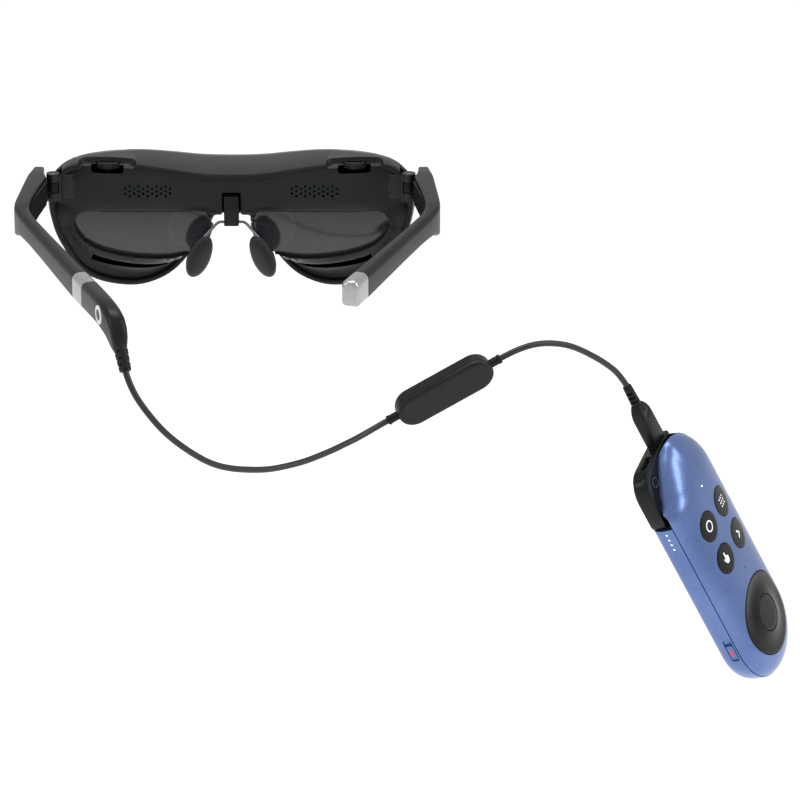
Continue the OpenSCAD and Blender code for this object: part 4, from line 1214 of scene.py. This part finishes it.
def ring_shape(outer, inner):
    """Quarter pieces of a ring, so each stays a simple outline."""
    pieces_of = []
    for quarter in range(4):
        turns = [math.pi / 2 * (quarter + k / 10) for k in range(11)]
        pieces_of.append([(outer * math.cos(t), outer * math.sin(t)) for t in turns]
                         + [(inner * math.cos(t), inner * math.sin(t)) for t in reversed(turns)])
    return pieces_of


def dot_shape(cx, cy, r, sides=14):
    return [(cx + r * c, cy + r * s) for c, s in steps_round(sides)]


ICONS = {
    "grid": [dot_shape(1.55 * i, 1.55 * j, 0.42) for i in (-1, 0, 1) for j in (-1, 0, 1)],
    "home": ring_shape(2.35, 1.75),
    "back": [[(-1.3, 1.7), (-0.6, 1.7), (1.0, 0.0), (-0.6, -1.7), (-1.3, -1.7), (-1.3, -1.2),
              (0.05, 0.0), (-1.3, 1.2)]],
    "pointer": [[(-0.5, 2.7), (0.2, 2.7), (0.35, 0.9), (1.4, 0.6), (1.75, 0.1), (1.6, -1.1), (1.0, -2.2), (-0.5, -2.2),
                 (-1.2, -1.2), (-1.9, 0.2), (-1.5, 0.6), (-0.75, -0.2)]],
}
for key_name, (x, y) in KEYS.items():
    cap = crowned_disc("key_" + key_name, x, y, KEY_R, 0.15, 4.4)
    paint(cap, key_black)
    mark = icon("icon_" + key_name, ICONS[key_name], x, y)
    paint(mark, white_ink)
    cap = joined([cap, mark], "key_" + key_name)
    bpy.ops.object.shade_smooth_by_angle(angle=math.radians(30))
    settle(cap, None, "key_" + key_name, "key", "button_" + key_name)

# ---------------------------------------------------------------- round pad
# Gloss black rocker ring, dished for the thumb, round a separate middle key.
# Piano black is the darkest surface, with clear reflections in the dished ring.
pad_gloss = moulded("Moulded polycarbonate, piano black", "#060607", "#0b0b0d", 0.17, 1.5, 1.2, 0.05,
                    IOR=1.58)
pad_ring = crowned_disc("pad_ring", 0, PAD_Y, PAD_R, 0.1, 3.6, hole=MIDDLE_R + 0.15, dish=0.5,
                        rings=14, sides=128)
settle(pad_ring, pad_gloss, "ring", "pad", "pad_ring")
pad_middle = crowned_disc("pad_middle", 0, PAD_Y, MIDDLE_R, 0.0, 3.6, rings=8, sides=96)
settle(pad_middle, pad_gloss, "ring_middle", "pad", "pad_centre")

# ---------------------------------------------------------------- side switch and lights
# A plain slider in the shell's colour with a printed red mark, let into the back
# shell, and clear acrylic light pipes pressed in from behind.
switch = soften(block("side_switch", (-22.9, -33.6, -1.95), (-20.2, -27.2, 0.95), control_frame), 0.45, 4)
mark = soften(block("switch_mark", (-22.94, -31.9, -1.2), (-22.6, -28.9, 0.2), control_frame), 0.15, 2)
# Printed red, flat beside the lacquer.
red_ink = moulded("Pad-printed ink, red", "#c4475a", "#d0566a", 0.4, 0.4, 3, 0.05)
paint(switch, blue_paint)
paint(mark, red_ink)
switch = joined([switch, mark], "side_switch")
bpy.ops.object.shade_smooth_by_angle(angle=math.radians(30))
settle(switch, None, "switch", "body_blue", "side_switch")
# A lit pipe is a small even white dot.
light_pipe, tree, surface = finish_of("Clear acrylic light pipe, lit", Roughness=0.2, Emission_Strength=1.2)
surface.inputs["Emission Color"].default_value = linear("#ffffff")
grainy = add(tree, "TexNoise", Vector=add(tree, "TexCoord").outputs["Object"], Scale=1 / (0.3 * MM))
wire(tree, surface, Base_Color=add(tree, "ValToRGB", stops=((0.0, "#f2f5ff"), (1.0, "#ffffff")), n0=grainy))
paint(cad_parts["led_pipes"], light_pipe)
LAMP = (0.4, 33.3)
face_light = rod("face_light", on_control(*LAMP, 7.0), on_control(*LAMP, crown_height(*LAMP) + 0.02), 0.4, 24)
soften(face_light, 0.06, 2)
settle(face_light, light_pipe, "front", "light")

# ---------------------------------------------------------------- hidden works
# Hinges, pins, screws, boards, battery and optics, screwed or clipped inside the
# shells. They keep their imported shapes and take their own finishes.
# Coated zinc is dull black, so the hinge sinks into the rim behind it.
black_zinc = worked_metal("Die-cast zinc, black e-coat", "#1a1b1d", "#26272a", 0.34, 0.5, 0.5, 3.0, 0.6)
# Green mask, silver foil, dark coated glass and black display glass.
solder_mask = moulded("Epoxy board, green solder mask", "#0f4a2b", "#17603a", 0.4, 0.6, 6, 0.05)
foil = moulded("Aluminium pouch foil", "#9a9da1", "#b4b6b9", 0.35, 1.0, 15, 0.05, Metallic=0.9)
half_mirror = moulded("Coated glass, half mirror", "#1b2027", "#242a33", 0.1, 2.0, 1, 0.02, Metallic=0.3)
panel_glass = moulded("Display glass, black", "#08090c", "#101218", 0.15, 2.0, 1, 0.02)
for nodes_named, material in ((("hinge_lug_left", "hinge_lug_right", "frame_screws", "dial_pins"), black_zinc),
                              (("hinge_pins", "remote_screws"), plated_steel),
                              (("speaker_left", "speaker_right"), black_zinc),
                              (("main_board", "inline_board", "remote_board"), solder_mask),
                              (("battery",), foil), (("splitter_left", "splitter_right"), half_mirror),
                              (("display_left", "display_right"), panel_glass)):
    for node_name in nodes_named:
        paint(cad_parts[node_name], material)
